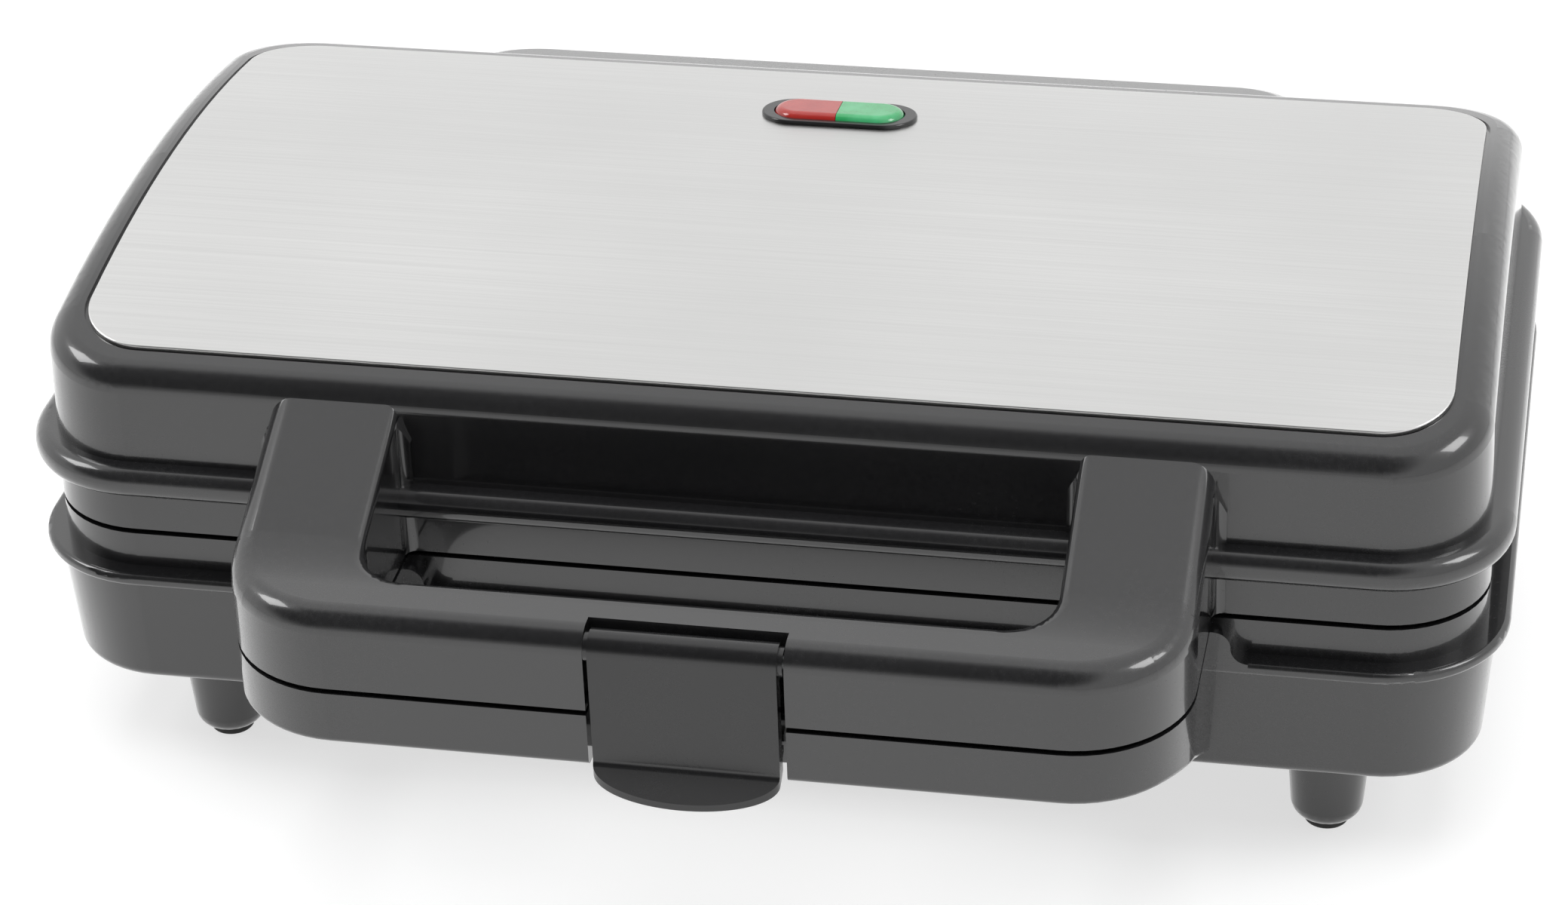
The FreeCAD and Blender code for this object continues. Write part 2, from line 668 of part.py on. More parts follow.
def on_crown(shape):
    """Place a shape made about the origin on the crown at the indicator, square to the surface."""
    lean = math.asin(INDICATOR_Y / (CROWN_RADIUS + PANEL_PROUD))
    height = LID_TOP - CROWN_RADIUS + (CROWN_RADIUS + PANEL_PROUD) * math.cos(lean)
    placed = shape.copy()
    placed.rotate(Vector(0, 0, 0), ACROSS, -math.degrees(lean))
    placed.translate(Vector(0, INDICATOR_Y, height))
    return placed


def bezel_body(margin, z0, z1):
    """Part of the indicator bezel that passes through the panel and the lid."""
    inset = BEZEL_LIP - margin
    return stadium(BEZEL_LENGTH - 2 * inset, BEZEL_WIDTH - 2 * inset, z0, z1)


def lid_shell():
    """Lid moulding with the upper handle half and the hinge hump."""
    shell = lid_skin().fuse([upper_handle(), hump_skin()])
    shell = shell.cut(lid_room().fuse(hump_room()))
    shell = shell.cut(handle_hollow(BAR_RISE, ARM_ROOT_RISE))
    inside = []
    for x, y in post_places():
        inside.append(rod(BOSS_DIAMETER, Vector(x, y, SHIELD_TOP), UP, LID_TOP - SHIELD_TOP))
    for side in (-1, 1):
        inside.append(hinge_lug(side))
        boss_start = Vector(side * BOARD_SCREW_X, 0, -BEZEL_DEPTH)
        inside.append(on_crown(rod(BOARD_BOSS_DIAMETER, boss_start, UP, BEZEL_DEPTH)))
    shell = shell.fuse(inside)
    recess = panel_outline(PANEL_GROOVE, SHIELD_TOP, LID_TOP + WALL)
    shell = shell.cut(recess.cut(under_crown(PANEL_PROUD - PANEL_THICKNESS - GLUE_FILM)))
    cuts = [latch_notch(LID_BOTTOM - WALL, LID_TOP), on_crown(bezel_body(FIT_CLEAR, -BEZEL_DEPTH, WALL))]
    for x, y in post_places():
        cuts.append(rod(SCREW_DIAMETER + 2 * SCREW_CLEAR, Vector(x, y, SHIELD_UNDER), UP, LID_RISE))
        cuts.append(rod(SCREW_HEAD_DIAMETER + 2 * SCREW_CLEAR, Vector(x, y, SCREW_SEAT), UP, LID_RISE))
    hinge_bore = HINGE_PIN_DIAMETER + 2 * PIN_RUNNING
    hinge_end = Vector(-HUMP_WIDTH / 2 + WALL, HINGE_Y, SEAM_HEIGHT)
    cuts.append(rod(hinge_bore, hinge_end, ACROSS, HUMP_WIDTH - 2 * WALL))
    pin_hole = LATCH_PIN_DIAMETER + 2 * PIN_PRESS
    cuts.append(rod(pin_hole, LATCH_PIVOT - ACROSS * HANDLE_WIDTH / 4, ACROSS, HANDLE_WIDTH / 2))
    for side in (-1, 1):
        hole = Vector(side * BOARD_SCREW_X, 0, -BEZEL_DEPTH)
        cuts.append(on_crown(rod(SMALL_SCREW_DIAMETER + 2 * THREAD_FIT, hole, UP, BEZEL_DEPTH - WALL)))
    hole = Vector(GROMMET_X, HALF_DEPTH - 2 * WALL, SEAM_HEIGHT + GROMMET_RISE)
    cuts.append(rod(GROMMET_DIAMETER + 2 * FIT_CLEAR, hole, BACK, 2 * WALL + FIT_CLEAR))
    return shell.cut(cuts)


def top_panel():
    """Crowned steel sheet with an opening for the indicator."""
    sheet = panel_outline(0, SHIELD_TOP, LID_TOP + WALL).common(under_crown(PANEL_PROUD))
    sheet = sheet.cut(under_crown(PANEL_PROUD - PANEL_THICKNESS))
    rim = [edge for edge in sheet.Edges if top_of_panel(edge)]
    sheet = sheet.makeFillet(PANEL_EDGE, rim)
    return sheet.cut(on_crown(bezel_body(FIT_CLEAR, -BEZEL_DEPTH, WALL)))


def top_of_panel(edge):
    """Whether an edge lies on the panel's upper face."""
    middle = edge.valueAt((edge.FirstParameter + edge.LastParameter) / 2)
    height = math.hypot(middle.y, middle.z - (LID_TOP - CROWN_RADIUS))
    return abs(height - CROWN_RADIUS - PANEL_PROUD) < NEAR


def lens_well(margin, z0, z1):
    """Oval well that holds both lenses, grown by margin."""
    return stadium(LENS_LENGTH + 2 * margin, LENS_WIDTH + 2 * margin, z0, z1)


def indicator_bezel():
    """Oval bezel with a lip on the panel, a well for the lenses and a ledge under them."""
    shape = stadium(BEZEL_LENGTH, BEZEL_WIDTH, 0, BEZEL_LIP_HEIGHT)
    rim = [edge for edge in shape.Edges if edge.BoundBox.ZMin > BEZEL_LIP_HEIGHT - NEAR]
    body = bezel_body(0, -BEZEL_DEPTH, BEZEL_LIP_HEIGHT / 2)
    shape = shape.makeFillet(BEZEL_LIP_HEIGHT / 2, rim).fuse(body)
    shape = shape.cut(lens_well(FIT_CLEAR, -LENS_DEPTH, WALL))
    return on_crown(shape.cut(lens_well(-LENS_LEDGE, -BEZEL_DEPTH, -LENS_DEPTH)))


def indicator_lens(side):
    """One D-shaped lens, half of a domed oval."""
    oval = lens_well(0, -LENS_DEPTH, LENS_CROWN)
    rim = [edge for edge in oval.Edges if edge.BoundBox.ZMin > LENS_CROWN - NEAR]
    x0, x1 = sorted((side * LENS_GAP / 2, side * BEZEL_LENGTH))
    half = block(x0, x1, -BEZEL_WIDTH, BEZEL_WIDTH, -BEZEL_DEPTH, BEZEL_DEPTH)
    return on_crown(oval.makeFillet(LENS_DOME, rim).common(half))


def lamp_place(side):
    """Middle of one lamp across the bezel."""
    return side * LENS_LENGTH / 4


def indicator_lamp(side):
    """Small round-ended lamp under one lens."""
    shape = rod(LAMP_DIAMETER, Vector(lamp_place(side), 0, -BEZEL_DEPTH), UP, LAMP_HEIGHT)
    rim = [edge for edge in shape.Edges if edge.BoundBox.ZMin > LAMP_HEIGHT - BEZEL_DEPTH - NEAR]
    return on_crown(shape.makeFillet(LAMP_DIAMETER / 4, rim))


def lamp_board():
    """Board that carries the lamps, screwed to two bosses of the lid."""
    plan = (BOARD_LENGTH / 2, BOARD_WIDTH / 2, BOARD_CORNER)
    shape = rounded_slab(*plan, -BEZEL_DEPTH - BOARD_SHEET, -BEZEL_DEPTH)
    for side in (-1, 1):
        start = Vector(side * BOARD_SCREW_X, 0, -BEZEL_DEPTH - BOARD_SHEET)
        shape = shape.cut(rod(SMALL_SCREW_DIAMETER + 2 * FIT_CLEAR, start, UP, BOARD_SHEET))
    return on_crown(shape)


def screw(diameter, head_diameter, head_height, seat, direction, length):
    """Pan-head screw: its head under a seat point and its shank along a direction."""
    shank = rod(diameter, seat, direction, length)
    head = rod(head_diameter, seat, direction * -1, head_height)
    top = seat - direction * head_height
    crown = [edge for edge in head.Edges if abs((edge.CenterOfMass - top).dot(direction)) < NEAR]
    return head.makeFillet(head_height / 3, crown).fuse(shank)


def board_screw(side):
    """Screw that holds the lamp board."""
    seat = Vector(side * BOARD_SCREW_X, 0, -BEZEL_DEPTH - BOARD_SHEET)
    length = BOARD_SHEET + (BEZEL_DEPTH - WALL) / 2
    return on_crown(screw(SMALL_SCREW_DIAMETER, SMALL_HEAD_DIAMETER, SMALL_HEAD_HEIGHT, seat, UP, length))


def ring_solid(half_width, z_face):
    """Half-round ring with short straight walls above z_face, turned about the upright axis."""
    left = Vector(RING_RADIUS - half_width, 0, z_face)
    right = Vector(RING_RADIUS + half_width, 0, z_face)
    rise = UP * RING_STRAIGHT
    crest = Vector(RING_RADIUS, 0, z_face + RING_STRAIGHT + half_width)
    arc = Part.Arc(right + rise, crest, left + rise).toShape()
    edges = [Part.makeLine(left, right), Part.makeLine(right, right + rise), arc]
    edges.append(Part.makeLine(left + rise, left))
    return Part.Face(Part.Wire(edges)).revolve(Vector(0, 0, 0), UP, 360)


def mould_plate():
    """Cast upper plate: flange, ring moulds, clip pads, sensor bosses and screw posts."""
    shape = rounded_slab(PLATE_HALF_WIDTH, PLATE_HALF_DEPTH, PLATE_CORNER, PLATE_FACE, PLATE_BACK)
    added = []
    grooves = []
    for x, y in mould_places():
        pan = ring_solid(PAN_RADIUS, PLATE_FACE)
        groove = ring_solid(RING_HALF_WIDTH, PLATE_FACE)
        pan.translate(Vector(x, y, 0))
        groove.translate(Vector(x, y, 0))
        added.append(pan)
        grooves.append(groove)
    pad_half_x = CLIP_PAD_LENGTH / 2
    pad_half_y = HEATER_DIAMETER / 2 + CLIP_CLEAR + CLIP_SHEET + CLIP_EAR
    for x, y in clip_places():
        plan = (x - pad_half_x, x + pad_half_x, y - pad_half_y, y + pad_half_y)
        added.append(block(*plan, PLATE_FACE, HEATER_PAD))
    for side in (-1, 1):
        x0 = side * BETWEEN_X - SENSOR_BOSS_LENGTH / 2
        half_y = SENSOR_BOSS_WIDTH / 2
        added.append(block(x0, x0 + SENSOR_BOSS_LENGTH, -half_y, half_y, PLATE_FACE, SENSOR_SEAT))
    for x, y in post_places():
        added.append(rod(POST_DIAMETER, Vector(x, y, PLATE_FACE), UP, SHIELD_UNDER - PLATE_FACE))
    shape = shape.fuse(added).cut(grooves)
    holes = []
    for x, y in post_places():
        depth = SCREW_BITE + HOLE_SPARE
        holes.append(rod(SCREW_DIAMETER + 2 * THREAD_FIT, Vector(x, y, SHIELD_UNDER - depth), UP, depth))
    for x, y in clip_places():
        for side in (-1, 1):
            holes.append(rivet_hole(x, y + side * rivet_offset(HEATER_DIAMETER, CLIP_EAR), HEATER_PAD))
    for side in (-1, 1):
        start = Vector(BETWEEN_X + side * THERMOSTAT_SCREW_X, 0, PLATE_BACK)
        holes.append(rod(SMALL_SCREW_DIAMETER + 2 * THREAD_FIT, start, UP, SENSOR_BOSS_HEIGHT))
        holes.append(rivet_hole(-BETWEEN_X, side * rivet_offset(FUSE_DIAMETER, fuse_ear()), SENSOR_SEAT))
    return shape.cut(holes)


def rivet_offset(diameter, ear):
    """Rivet's distance from the middle of a clip over a tube."""
    return diameter / 2 + CLIP_CLEAR + CLIP_SHEET + ear / 2


def rivet_hole(x, y, seat):
    """Hole for one rivet below a seat height."""
    return rod(RIVET_DIAMETER + 2 * THREAD_FIT, Vector(x, y, seat - RIVET_DEPTH), UP, RIVET_DEPTH)


def rivet(x, y, seat):
    """Rivet through a clip ear that lies on a seat."""
    top = Vector(x, y, seat + CLIP_SHEET)
    length = CLIP_SHEET + RIVET_DEPTH
    return screw(RIVET_DIAMETER, RIVET_HEAD_DIAMETER, RIVET_HEAD_HEIGHT, top, UP * -1, length)


def saddle_clip(x, y, seat, diameter, ear):
    """Sheet saddle over a tube that lies on a seat, with a flat ear each side."""
    bore = diameter / 2 + CLIP_CLEAR
    outer = bore + CLIP_SHEET
    axis_z = seat + diameter / 2
    x0 = x - CLIP_WIDTH / 2
    reach = outer + ear
    shape = rod(2 * outer, Vector(x0, y, axis_z), ACROSS, CLIP_WIDTH)
    shape = shape.fuse(block(x0, x0 + CLIP_WIDTH, y - outer, y + outer, seat, axis_z))
    shape = shape.fuse(block(x0, x0 + CLIP_WIDTH, y - reach, y + reach, seat, seat + CLIP_SHEET))
    tunnel = rod(2 * bore, Vector(x0, y, axis_z), ACROSS, CLIP_WIDTH)
    tunnel = tunnel.fuse(block(x0, x0 + CLIP_WIDTH, y - bore, y + bore, seat - diameter, axis_z))
    above_seat = block(x0, x0 + CLIP_WIDTH, y - reach, y + reach, seat, seat + 2 * diameter)
    shape = shape.common(above_seat).cut(tunnel)
    for side in (-1, 1):
        start = Vector(x, y + side * rivet_offset(diameter, ear), seat)
        shape = shape.cut(rod(RIVET_DIAMETER + 2 * THREAD_FIT, start, UP, CLIP_SHEET))
    return shape.Solids


def swept_rod(edges, diameter):
    """Round bar along a chain of tangent edges."""
    path = Part.Wire(edges)
    start = path.Edges[0].valueAt(path.Edges[0].FirstParameter)
    heading = path.Edges[0].tangentAt(path.Edges[0].FirstParameter)
    section = Part.Wire(Part.makeCircle(diameter / 2, start, heading))
    return path.makePipeShell([section], True, False)


def heater():
    """U-shaped tubular heater across the backs of the moulds, with a pin at each end."""
    turn_x = (MOULD_COLUMNS - 1) / 2 * MOULD_PITCH_X
    near = Vector(-HEATER_END_X, -HEATER_Y, HEATER_Z)
    far = Vector(-HEATER_END_X, HEATER_Y, HEATER_Z)
    turn_near = Vector(turn_x, -HEATER_Y, HEATER_Z)
    turn_far = Vector(turn_x, HEATER_Y, HEATER_Z)
    turn_top = Vector(turn_x + HEATER_Y, 0, HEATER_Z)
    bend = Part.Arc(turn_near, turn_top, turn_far).toShape()
    shape = swept_rod([Part.makeLine(near, turn_near), bend, Part.makeLine(turn_far, far)], HEATER_DIAMETER)
    for end in (near, far):
        shape = shape.fuse(rod(HEATER_PIN_DIAMETER, end, ACROSS * -1, HEATER_PIN_LENGTH))
    return shape


def heat_shield(with_windows):
    """Sheet shield on the plate posts, with windows for the sensors or a notch over the terminal block."""
    shape = rounded_slab(SHIELD_HALF_WIDTH, SHIELD_HALF_DEPTH, SHIELD_CORNER, SHIELD_UNDER, SHIELD_TOP)
    holes = []
    for x, y in post_places():
        holes.append(rod(SCREW_DIAMETER + 2 * SCREW_CLEAR, Vector(x, y, SHIELD_UNDER), UP, SHIELD_SHEET))
    if with_windows:
        half_x = SENSOR_BOSS_LENGTH / 2 + WINDOW_MARGIN
        half_y = SENSOR_BOSS_WIDTH / 2 + WINDOW_MARGIN
        for side in (-1, 1):
            x = side * BETWEEN_X
            holes.append(block(x - half_x, x + half_x, -half_y, half_y, SHIELD_UNDER, SHIELD_TOP))
    else:
        start = Vector(*earth_place(), SHIELD_UNDER)
        holes.append(rod(SMALL_SCREW_DIAMETER + 2 * THREAD_FIT, start, UP, SHIELD_SHEET))
        half_x = TERMINAL_LENGTH / 2 + WINDOW_MARGIN
        front = TERMINAL_Y - TERMINAL_WIDTH / 2 - WINDOW_MARGIN
        holes.append(block(-half_x, half_x, front, HALF_DEPTH, SHIELD_UNDER, SHIELD_TOP))
    return shape.cut(holes)


def plate_screw(x, y):
    """Screw from the casing boss through the shield into a plate post."""
    seat = Vector(x, y, SCREW_SEAT)
    length = SCREW_SEAT - SHIELD_UNDER + SCREW_BITE
    return screw(SCREW_DIAMETER, SCREW_HEAD_DIAMETER, SCREW_HEAD_HEIGHT, seat, UP * -1, length)


def thermostat():
    """Disc thermostat with a screwed flange and two blade terminals."""
    half_x = SENSOR_BOSS_LENGTH / 2 - THERMOSTAT_MARGIN
    half_y = SENSOR_BOSS_WIDTH / 2 - THERMOSTAT_MARGIN
    flange_top = SENSOR_SEAT + THERMOSTAT_FLANGE
    top = flange_top + THERMOSTAT_HEIGHT
    shape = block(BETWEEN_X - half_x, BETWEEN_X + half_x, -half_y, half_y, SENSOR_SEAT, flange_top)
    shape = shape.fuse(rod(THERMOSTAT_DIAMETER, Vector(BETWEEN_X, 0, SENSOR_SEAT), UP, top - SENSOR_SEAT))
    for side in (-1, 1):
        y0 = side * BLADE_Y - BLADE_SHEET / 2
        x0 = BETWEEN_X - BLADE_WIDTH / 2
        shape = shape.fuse(block(x0, x0 + BLADE_WIDTH, y0, y0 + BLADE_SHEET, top, top + BLADE_HEIGHT))
        start = Vector(BETWEEN_X + side * THERMOSTAT_SCREW_X, 0, SENSOR_SEAT)
        shape = shape.cut(rod(SMALL_SCREW_DIAMETER + 2 * FIT_CLEAR, start, UP, THERMOSTAT_FLANGE))
    return shape


def thermostat_screw(side):
    """Screw through one end of the thermostat's flange."""
    seat = Vector(BETWEEN_X + side * THERMOSTAT_SCREW_X, 0, SENSOR_SEAT + THERMOSTAT_FLANGE)
    length = THERMOSTAT_FLANGE + SENSOR_BOSS_HEIGHT - HOLE_SPARE
    return screw(SMALL_SCREW_DIAMETER, SMALL_HEAD_DIAMETER, SMALL_HEAD_HEIGHT, seat, UP * -1, length)


def fuse_ear():
    """Ear length of the fuse clip, which ends inside the sensor boss."""
    return SENSOR_BOSS_WIDTH / 2 - FUSE_DIAMETER / 2 - CLIP_CLEAR - CLIP_SHEET


def thermal_fuse():
    """Barrel fuse on the second sensor boss, with a lead at each end."""
    centre = Vector(-BETWEEN_X, 0, SENSOR_SEAT + FUSE_DIAMETER / 2)
    barrel = rod(FUSE_DIAMETER, centre - ACROSS * FUSE_LENGTH / 2, ACROSS, FUSE_LENGTH)
    whole = FUSE_LENGTH + 2 * FUSE_LEAD
    return barrel.fuse(rod(WIRE_DIAMETER / 2, centre - ACROSS * whole / 2, ACROSS, whole))


def wire_run(points):
    """Insulated wire along straight runs joined by tangent arcs."""
    edges = []
    start = points[0]
    for before, corner, after in zip(points, points[1:], points[2:]):
        heading_in = (corner - before).normalize()
        heading_out = (after - corner).normalize()
        half_turn = heading_in.getAngle(heading_out) / 2
        reach = WIRE_BEND * math.tan(half_turn)
        inward = (heading_out - heading_in).normalize()
        middle = corner + inward * (WIRE_BEND / math.cos(half_turn) - WIRE_BEND)
        arc_start, arc_end = corner - heading_in * reach, corner + heading_out * reach
        edges += [Part.makeLine(start, arc_start), Part.Arc(arc_start, middle, arc_end).toShape()]
        start = arc_end
    return swept_rod(edges + [Part.makeLine(start, points[-1])], WIRE_DIAMETER)


def lid_wires():
    """Wires of the lid: heater to lamps, heater to thermostat, thermostat to fuse, lamps to the hinge."""
    pin_x = -HEATER_END_X - HEATER_PIN_LENGTH
    board = on_crown(Part.Vertex(0, 0, -BEZEL_DEPTH - BOARD_SHEET / 2)).Point
    board_x = BOARD_LENGTH / 2
    blade_z = SENSOR_SEAT + THERMOSTAT_FLANGE + THERMOSTAT_HEIGHT + BLADE_HEIGHT
    over_z = SHIELD_TOP + WIRE_DIAMETER
    high_z = over_z + WIRE_DIAMETER
    fuse_z = SENSOR_SEAT + FUSE_DIAMETER / 2
    fuse_x = -BETWEEN_X + FUSE_LENGTH / 2 + FUSE_LEAD
    turn = 3 * WIRE_BEND
    rear_y = SHIELD_HALF_DEPTH + WIRE_DIAMETER / 2 + WIRE_GAP
    grommet_z = SEAM_HEIGHT + GROMMET_RISE
    to_lamps = [Vector(pin_x, HEATER_Y, HEATER_Z), Vector(-WIRE_X, HEATER_Y, HEATER_Z)]
    to_lamps += [Vector(-WIRE_X, HEATER_Y, board.z), Vector(-WIRE_X, board.y, board.z)]
    to_lamps += [Vector(-board_x, board.y, board.z)]
    to_thermostat = [Vector(pin_x, -HEATER_Y, HEATER_Z), Vector(-WIRE_X, -HEATER_Y, HEATER_Z)]
    to_thermostat += [Vector(-WIRE_X, -HEATER_Y, over_z), Vector(BETWEEN_X, -HEATER_Y, over_z)]
    to_thermostat += [Vector(BETWEEN_X, -BLADE_Y, over_z), Vector(BETWEEN_X, -BLADE_Y, blade_z)]
    drop_x = fuse_x + turn
    to_fuse = [Vector(BETWEEN_X, BLADE_Y, blade_z), Vector(BETWEEN_X, BLADE_Y, high_z)]
    to_fuse += [Vector(drop_x, BLADE_Y, high_z), Vector(drop_x, BLADE_Y, fuse_z)]
    to_fuse += [Vector(drop_x, 0, fuse_z), Vector(fuse_x, 0, fuse_z)]
    to_hinge = [Vector(board_x, board.y, board.z), Vector(GROMMET_X, board.y, board.z)]
    to_hinge += [Vector(GROMMET_X, rear_y, board.z), Vector(GROMMET_X, rear_y, grommet_z)]
    to_hinge += [Vector(GROMMET_X, HALF_DEPTH + WALL, grommet_z)]
    return [wire_run(points) for points in (to_lamps, to_thermostat, to_fuse, to_hinge)]


def harness_grommet():
    """Rubber grommet in the lid's rear wall where the wires pass to the hinge."""
    z = SEAM_HEIGHT + GROMMET_RISE
    lean = LID_SLOPE * (GROMMET_RISE + GROMMET_FLANGE_DIAMETER / 2)
    front = HALF_DEPTH - WALL - lean
    length = HALF_DEPTH - front
    shape = rod(GROMMET_DIAMETER, Vector(GROMMET_X, front, z), BACK, length)
    for start in (front - GROMMET_FLANGE, HALF_DEPTH):
        shape = shape.fuse(rod(GROMMET_FLANGE_DIAMETER, Vector(GROMMET_X, start, z), BACK, GROMMET_FLANGE))
    bore = Vector(GROMMET_X, front - GROMMET_FLANGE, z)
    return shape.cut(rod(WIRE_DIAMETER + 2 * FIT_CLEAR, bore, BACK, length + 2 * GROMMET_FLANGE))


def latch_clip():
    """Latch: a barrel on the pin, a plate down the notch, a snap lip behind and a flared thumb tab."""
    front = HANDLE_FRONT - LATCH_PROUD
    back = front + LATCH_PLATE
    tab_tip = HANDLE_BOTTOM - LATCH_TAB_DROP + LATCH_TAB_THICKNESS
    half = LATCH_WIDTH / 2
    crease = HANDLE_BOTTOM + LATCH_CREASE_RISE
    points = [(front, LATCH_PIVOT.z), (front, crease), (LATCH_TIP, tab_tip)]
    points += [(LATCH_TIP, tab_tip - LATCH_TAB_THICKNESS)]
    points += [(front + LATCH_TAB_EDGE, crease - LATCH_TAB_THICKNESS)]
    points += [(back, crease), (back, LATCH_PIVOT.z)]
    shape = side_profile(points, half)
    near_crease = (front - NEAR, front + NEAR, crease - NEAR, crease + NEAR)
    shape = shape.makeFillet(LATCH_TAB_CREASE, edges_inside(shape, -half, half, *near_crease))
    lip_top = BASE_TOP - CATCH_DROP - CATCH_HEIGHT - LIP_CLEAR
    lip_back = HANDLE_FRONT + NOTCH_DEPTH - CATCH_REACH - LIP_CLEAR
    root = back - OVERLAP
    lip = [(root, lip_top), (lip_back, lip_top)]
    lip += [(lip_back, lip_top - LIP_HEIGHT / 2), (root, lip_top - LIP_HEIGHT)]
    barrel = rod(2 * LATCH_BARREL_RADIUS, LATCH_PIVOT - ACROSS * half, ACROSS, LATCH_WIDTH)
    shape = shape.fuse([side_profile(lip, half), barrel])
    shape = shape.common(latch_plan())
    reach = half + LATCH_SIDE_GAP - LATCH_COLLAR_GAP
    end = LATCH_PIVOT - ACROSS * reach
    shape = shape.fuse(rod(LATCH_COLLAR_DIAMETER, end, ACROSS, 2 * reach))
    return shape.cut(rod(LATCH_PIN_DIAMETER + 2 * PIN_RUNNING, end, ACROSS, 2 * reach))


def latch_plan():
    """Plan outline of the latch: straight sides that close in a half oval at the thumb tab."""
    half, front, back = LATCH_WIDTH / 2, HANDLE_FRONT - LATCH_PROUD, HANDLE_FRONT + BAR_DEPTH
    oval = Part.Ellipse(Vector(half, front, 0), Vector(0, LATCH_TIP, 0), Vector(0, front, 0))
    arc = Part.ArcOfEllipse(oval, 0, math.pi).toShape()
    corners = [Vector(-half, front, 0), Vector(-half, back, 0), Vector(half, back, 0), Vector(half, front, 0)]
    sides = [Part.makeLine(a, b) for a, b in zip(corners, corners[1:])]
    return Part.Face(Part.Wire([arc] + sides)).extrude(UP * LID_TOP)


def latch_pin():
    """Steel pin of the latch, held in the cheeks of the notch."""
    half = LATCH_WIDTH / 2 + LATCH_SIDE_GAP + LATCH_CHEEK
    return rod(LATCH_PIN_DIAMETER, LATCH_PIVOT - ACROSS * half, ACROSS, 2 * half)


def tub(inset, bottom, top):
    """Tapered lower part of the base between two heights, its walls moved in by inset."""
    drop = TUB_SLOPE * (FLANGE_BOTTOM - top)
    side = inset + drop - TUB_OVERHANG
    return drafted_slab(*casing_plan(side), top, bottom, TUB_SLOPE)


def base_skin():
    """Outer form of the base: seam band, thin flange and tapered tub."""
    band = rounded_slab(*casing_plan(0), BAND_BOTTOM, BASE_TOP)
    flange = rounded_slab(*casing_plan(-FLANGE_REACH), FLANGE_BOTTOM, BAND_BOTTOM)
    flange = flange.makeFillet(FLANGE_EDGE, [edge for edge in flange.Edges if edge.BoundBox.ZLength < 1e-6])
    lower = tub(0, TUB_UNDERSIDE, FLANGE_BOTTOM)
    rim = [edge for edge in lower.Edges if edge.BoundBox.ZMax < TUB_UNDERSIDE + NEAR]
    return band.fuse([flange, lower.makeFillet(TUB_EDGE, rim)])


def base_room():
    """Room inside the base: the plate opening, the ledge and the tub."""
    seat = 2 * SEAM_HEIGHT - PLATE_BACK
    opening = rounded_slab(*casing_plan(WALL), seat, BASE_TOP + WALL)
    throat = rounded_slab(*casing_plan(WALL + LEDGE_WIDTH), FLANGE_BOTTOM, seat)
    return opening.fuse([throat, tub(WALL, TUB_FLOOR, FLANGE_BOTTOM)])


def hinge_stop_height(y):
    """Height of the stop plane that the open hump comes down on."""
    turn = math.radians(HINGE_OPENING)
    distance = HUMP_REACH - HINGE_SETBACK + HINGE_STOP_GAP
    return SEAM_HEIGHT - (distance - (y - HINGE_Y) * math.cos(turn)) / math.sin(turn)


def cord_box(inset, front):
    """Box behind the base that holds the cord inlet; its sloped top is the lid's stop."""
    half = CORD_BOX_WIDTH / 2 - inset
    rear = CORD_BOX_REAR - inset
    bottom = CORD_BOX_BOTTOM + inset
    points = [(front, bottom), (rear, bottom), (rear, hinge_stop_height(rear) - inset)]
    shape = side_profile(points + [(front, hinge_stop_height(front) - inset)], half)
    return shape.makeFillet(CORD_BOX_CORNER - inset, upright_edges(shape, rear))


def hinge_ear(side):
    """Ear of the base that reaches back to the hinge line and holds a pin."""
    x0 = side * EAR_X - EAR_WIDTH / 2
    wall = HALF_DEPTH - WALL
    roots = [Vector(x0, wall, BASE_TOP), Vector(x0, wall, SEAM_HEIGHT - EAR_ROOT)]
    centre = Vector(x0, HINGE_Y, SEAM_HEIGHT)
    root_top = Vector(x0, HALF_DEPTH, BASE_TOP)
    root_low = Vector(x0, HALF_DEPTH, SEAM_HEIGHT - EAR_ROOT)
    touch_top = tangent_point(centre, root_top, -1)
    touch_low = tangent_point(centre, root_low, 1)
    corners = [roots[0], root_top, touch_top, centre, touch_low, root_low, roots[1], roots[0]]
    outline = Part.makePolygon(corners)
    arm = Part.Face(outline).extrude(ACROSS * EAR_WIDTH)
    return arm.fuse(rod(2 * EAR_RADIUS, centre, ACROSS, EAR_WIDTH))


def tangent_point(centre, point, turn):
    """Point of the ear's round end where a line from an outside point touches it."""
    away = point - centre
    angle = math.atan2(away.z, away.y) + turn * math.acos(EAR_RADIUS / away.Length)
    return centre + Vector(0, math.cos(angle), math.sin(angle)) * EAR_RADIUS


def foot_places():
    """Middle of each foot in plan."""
    return [(side_x * FOOT_X, side_y * FOOT_Y) for side_x in (-1, 1) for side_y in (-1, 1)]


def catch():
    """Ledge in the lower notch that the latch's lip snaps under."""
    top = BASE_TOP - CATCH_DROP
    back = HANDLE_FRONT + NOTCH_DEPTH
    front = back - CATCH_REACH
    root = back + OVERLAP
    points = [(root, top), (back, top), (front, top - CATCH_HEIGHT / 2), (front, top - CATCH_HEIGHT)]
    return side_profile(points + [(root, top - CATCH_HEIGHT)], LATCH_WIDTH / 2)


def vent_slots():
    """Two groups of slots through the floor of the base, each beside the middle."""
    slots = []
    for side in (-1, 1):
        for index in range(VENT_COUNT):
            x = side * MOULD_PITCH_X + (index - (VENT_COUNT - 1) / 2) * VENT_PITCH
            slot = stadium(VENT_LENGTH, VENT_WIDTH, TUB_UNDERSIDE, TUB_FLOOR)
            slot.rotate(Vector(0, 0, 0), UP, 90)
            slot.translate(Vector(x, VENT_Y, 0))
            slots.append(slot)
    return slots


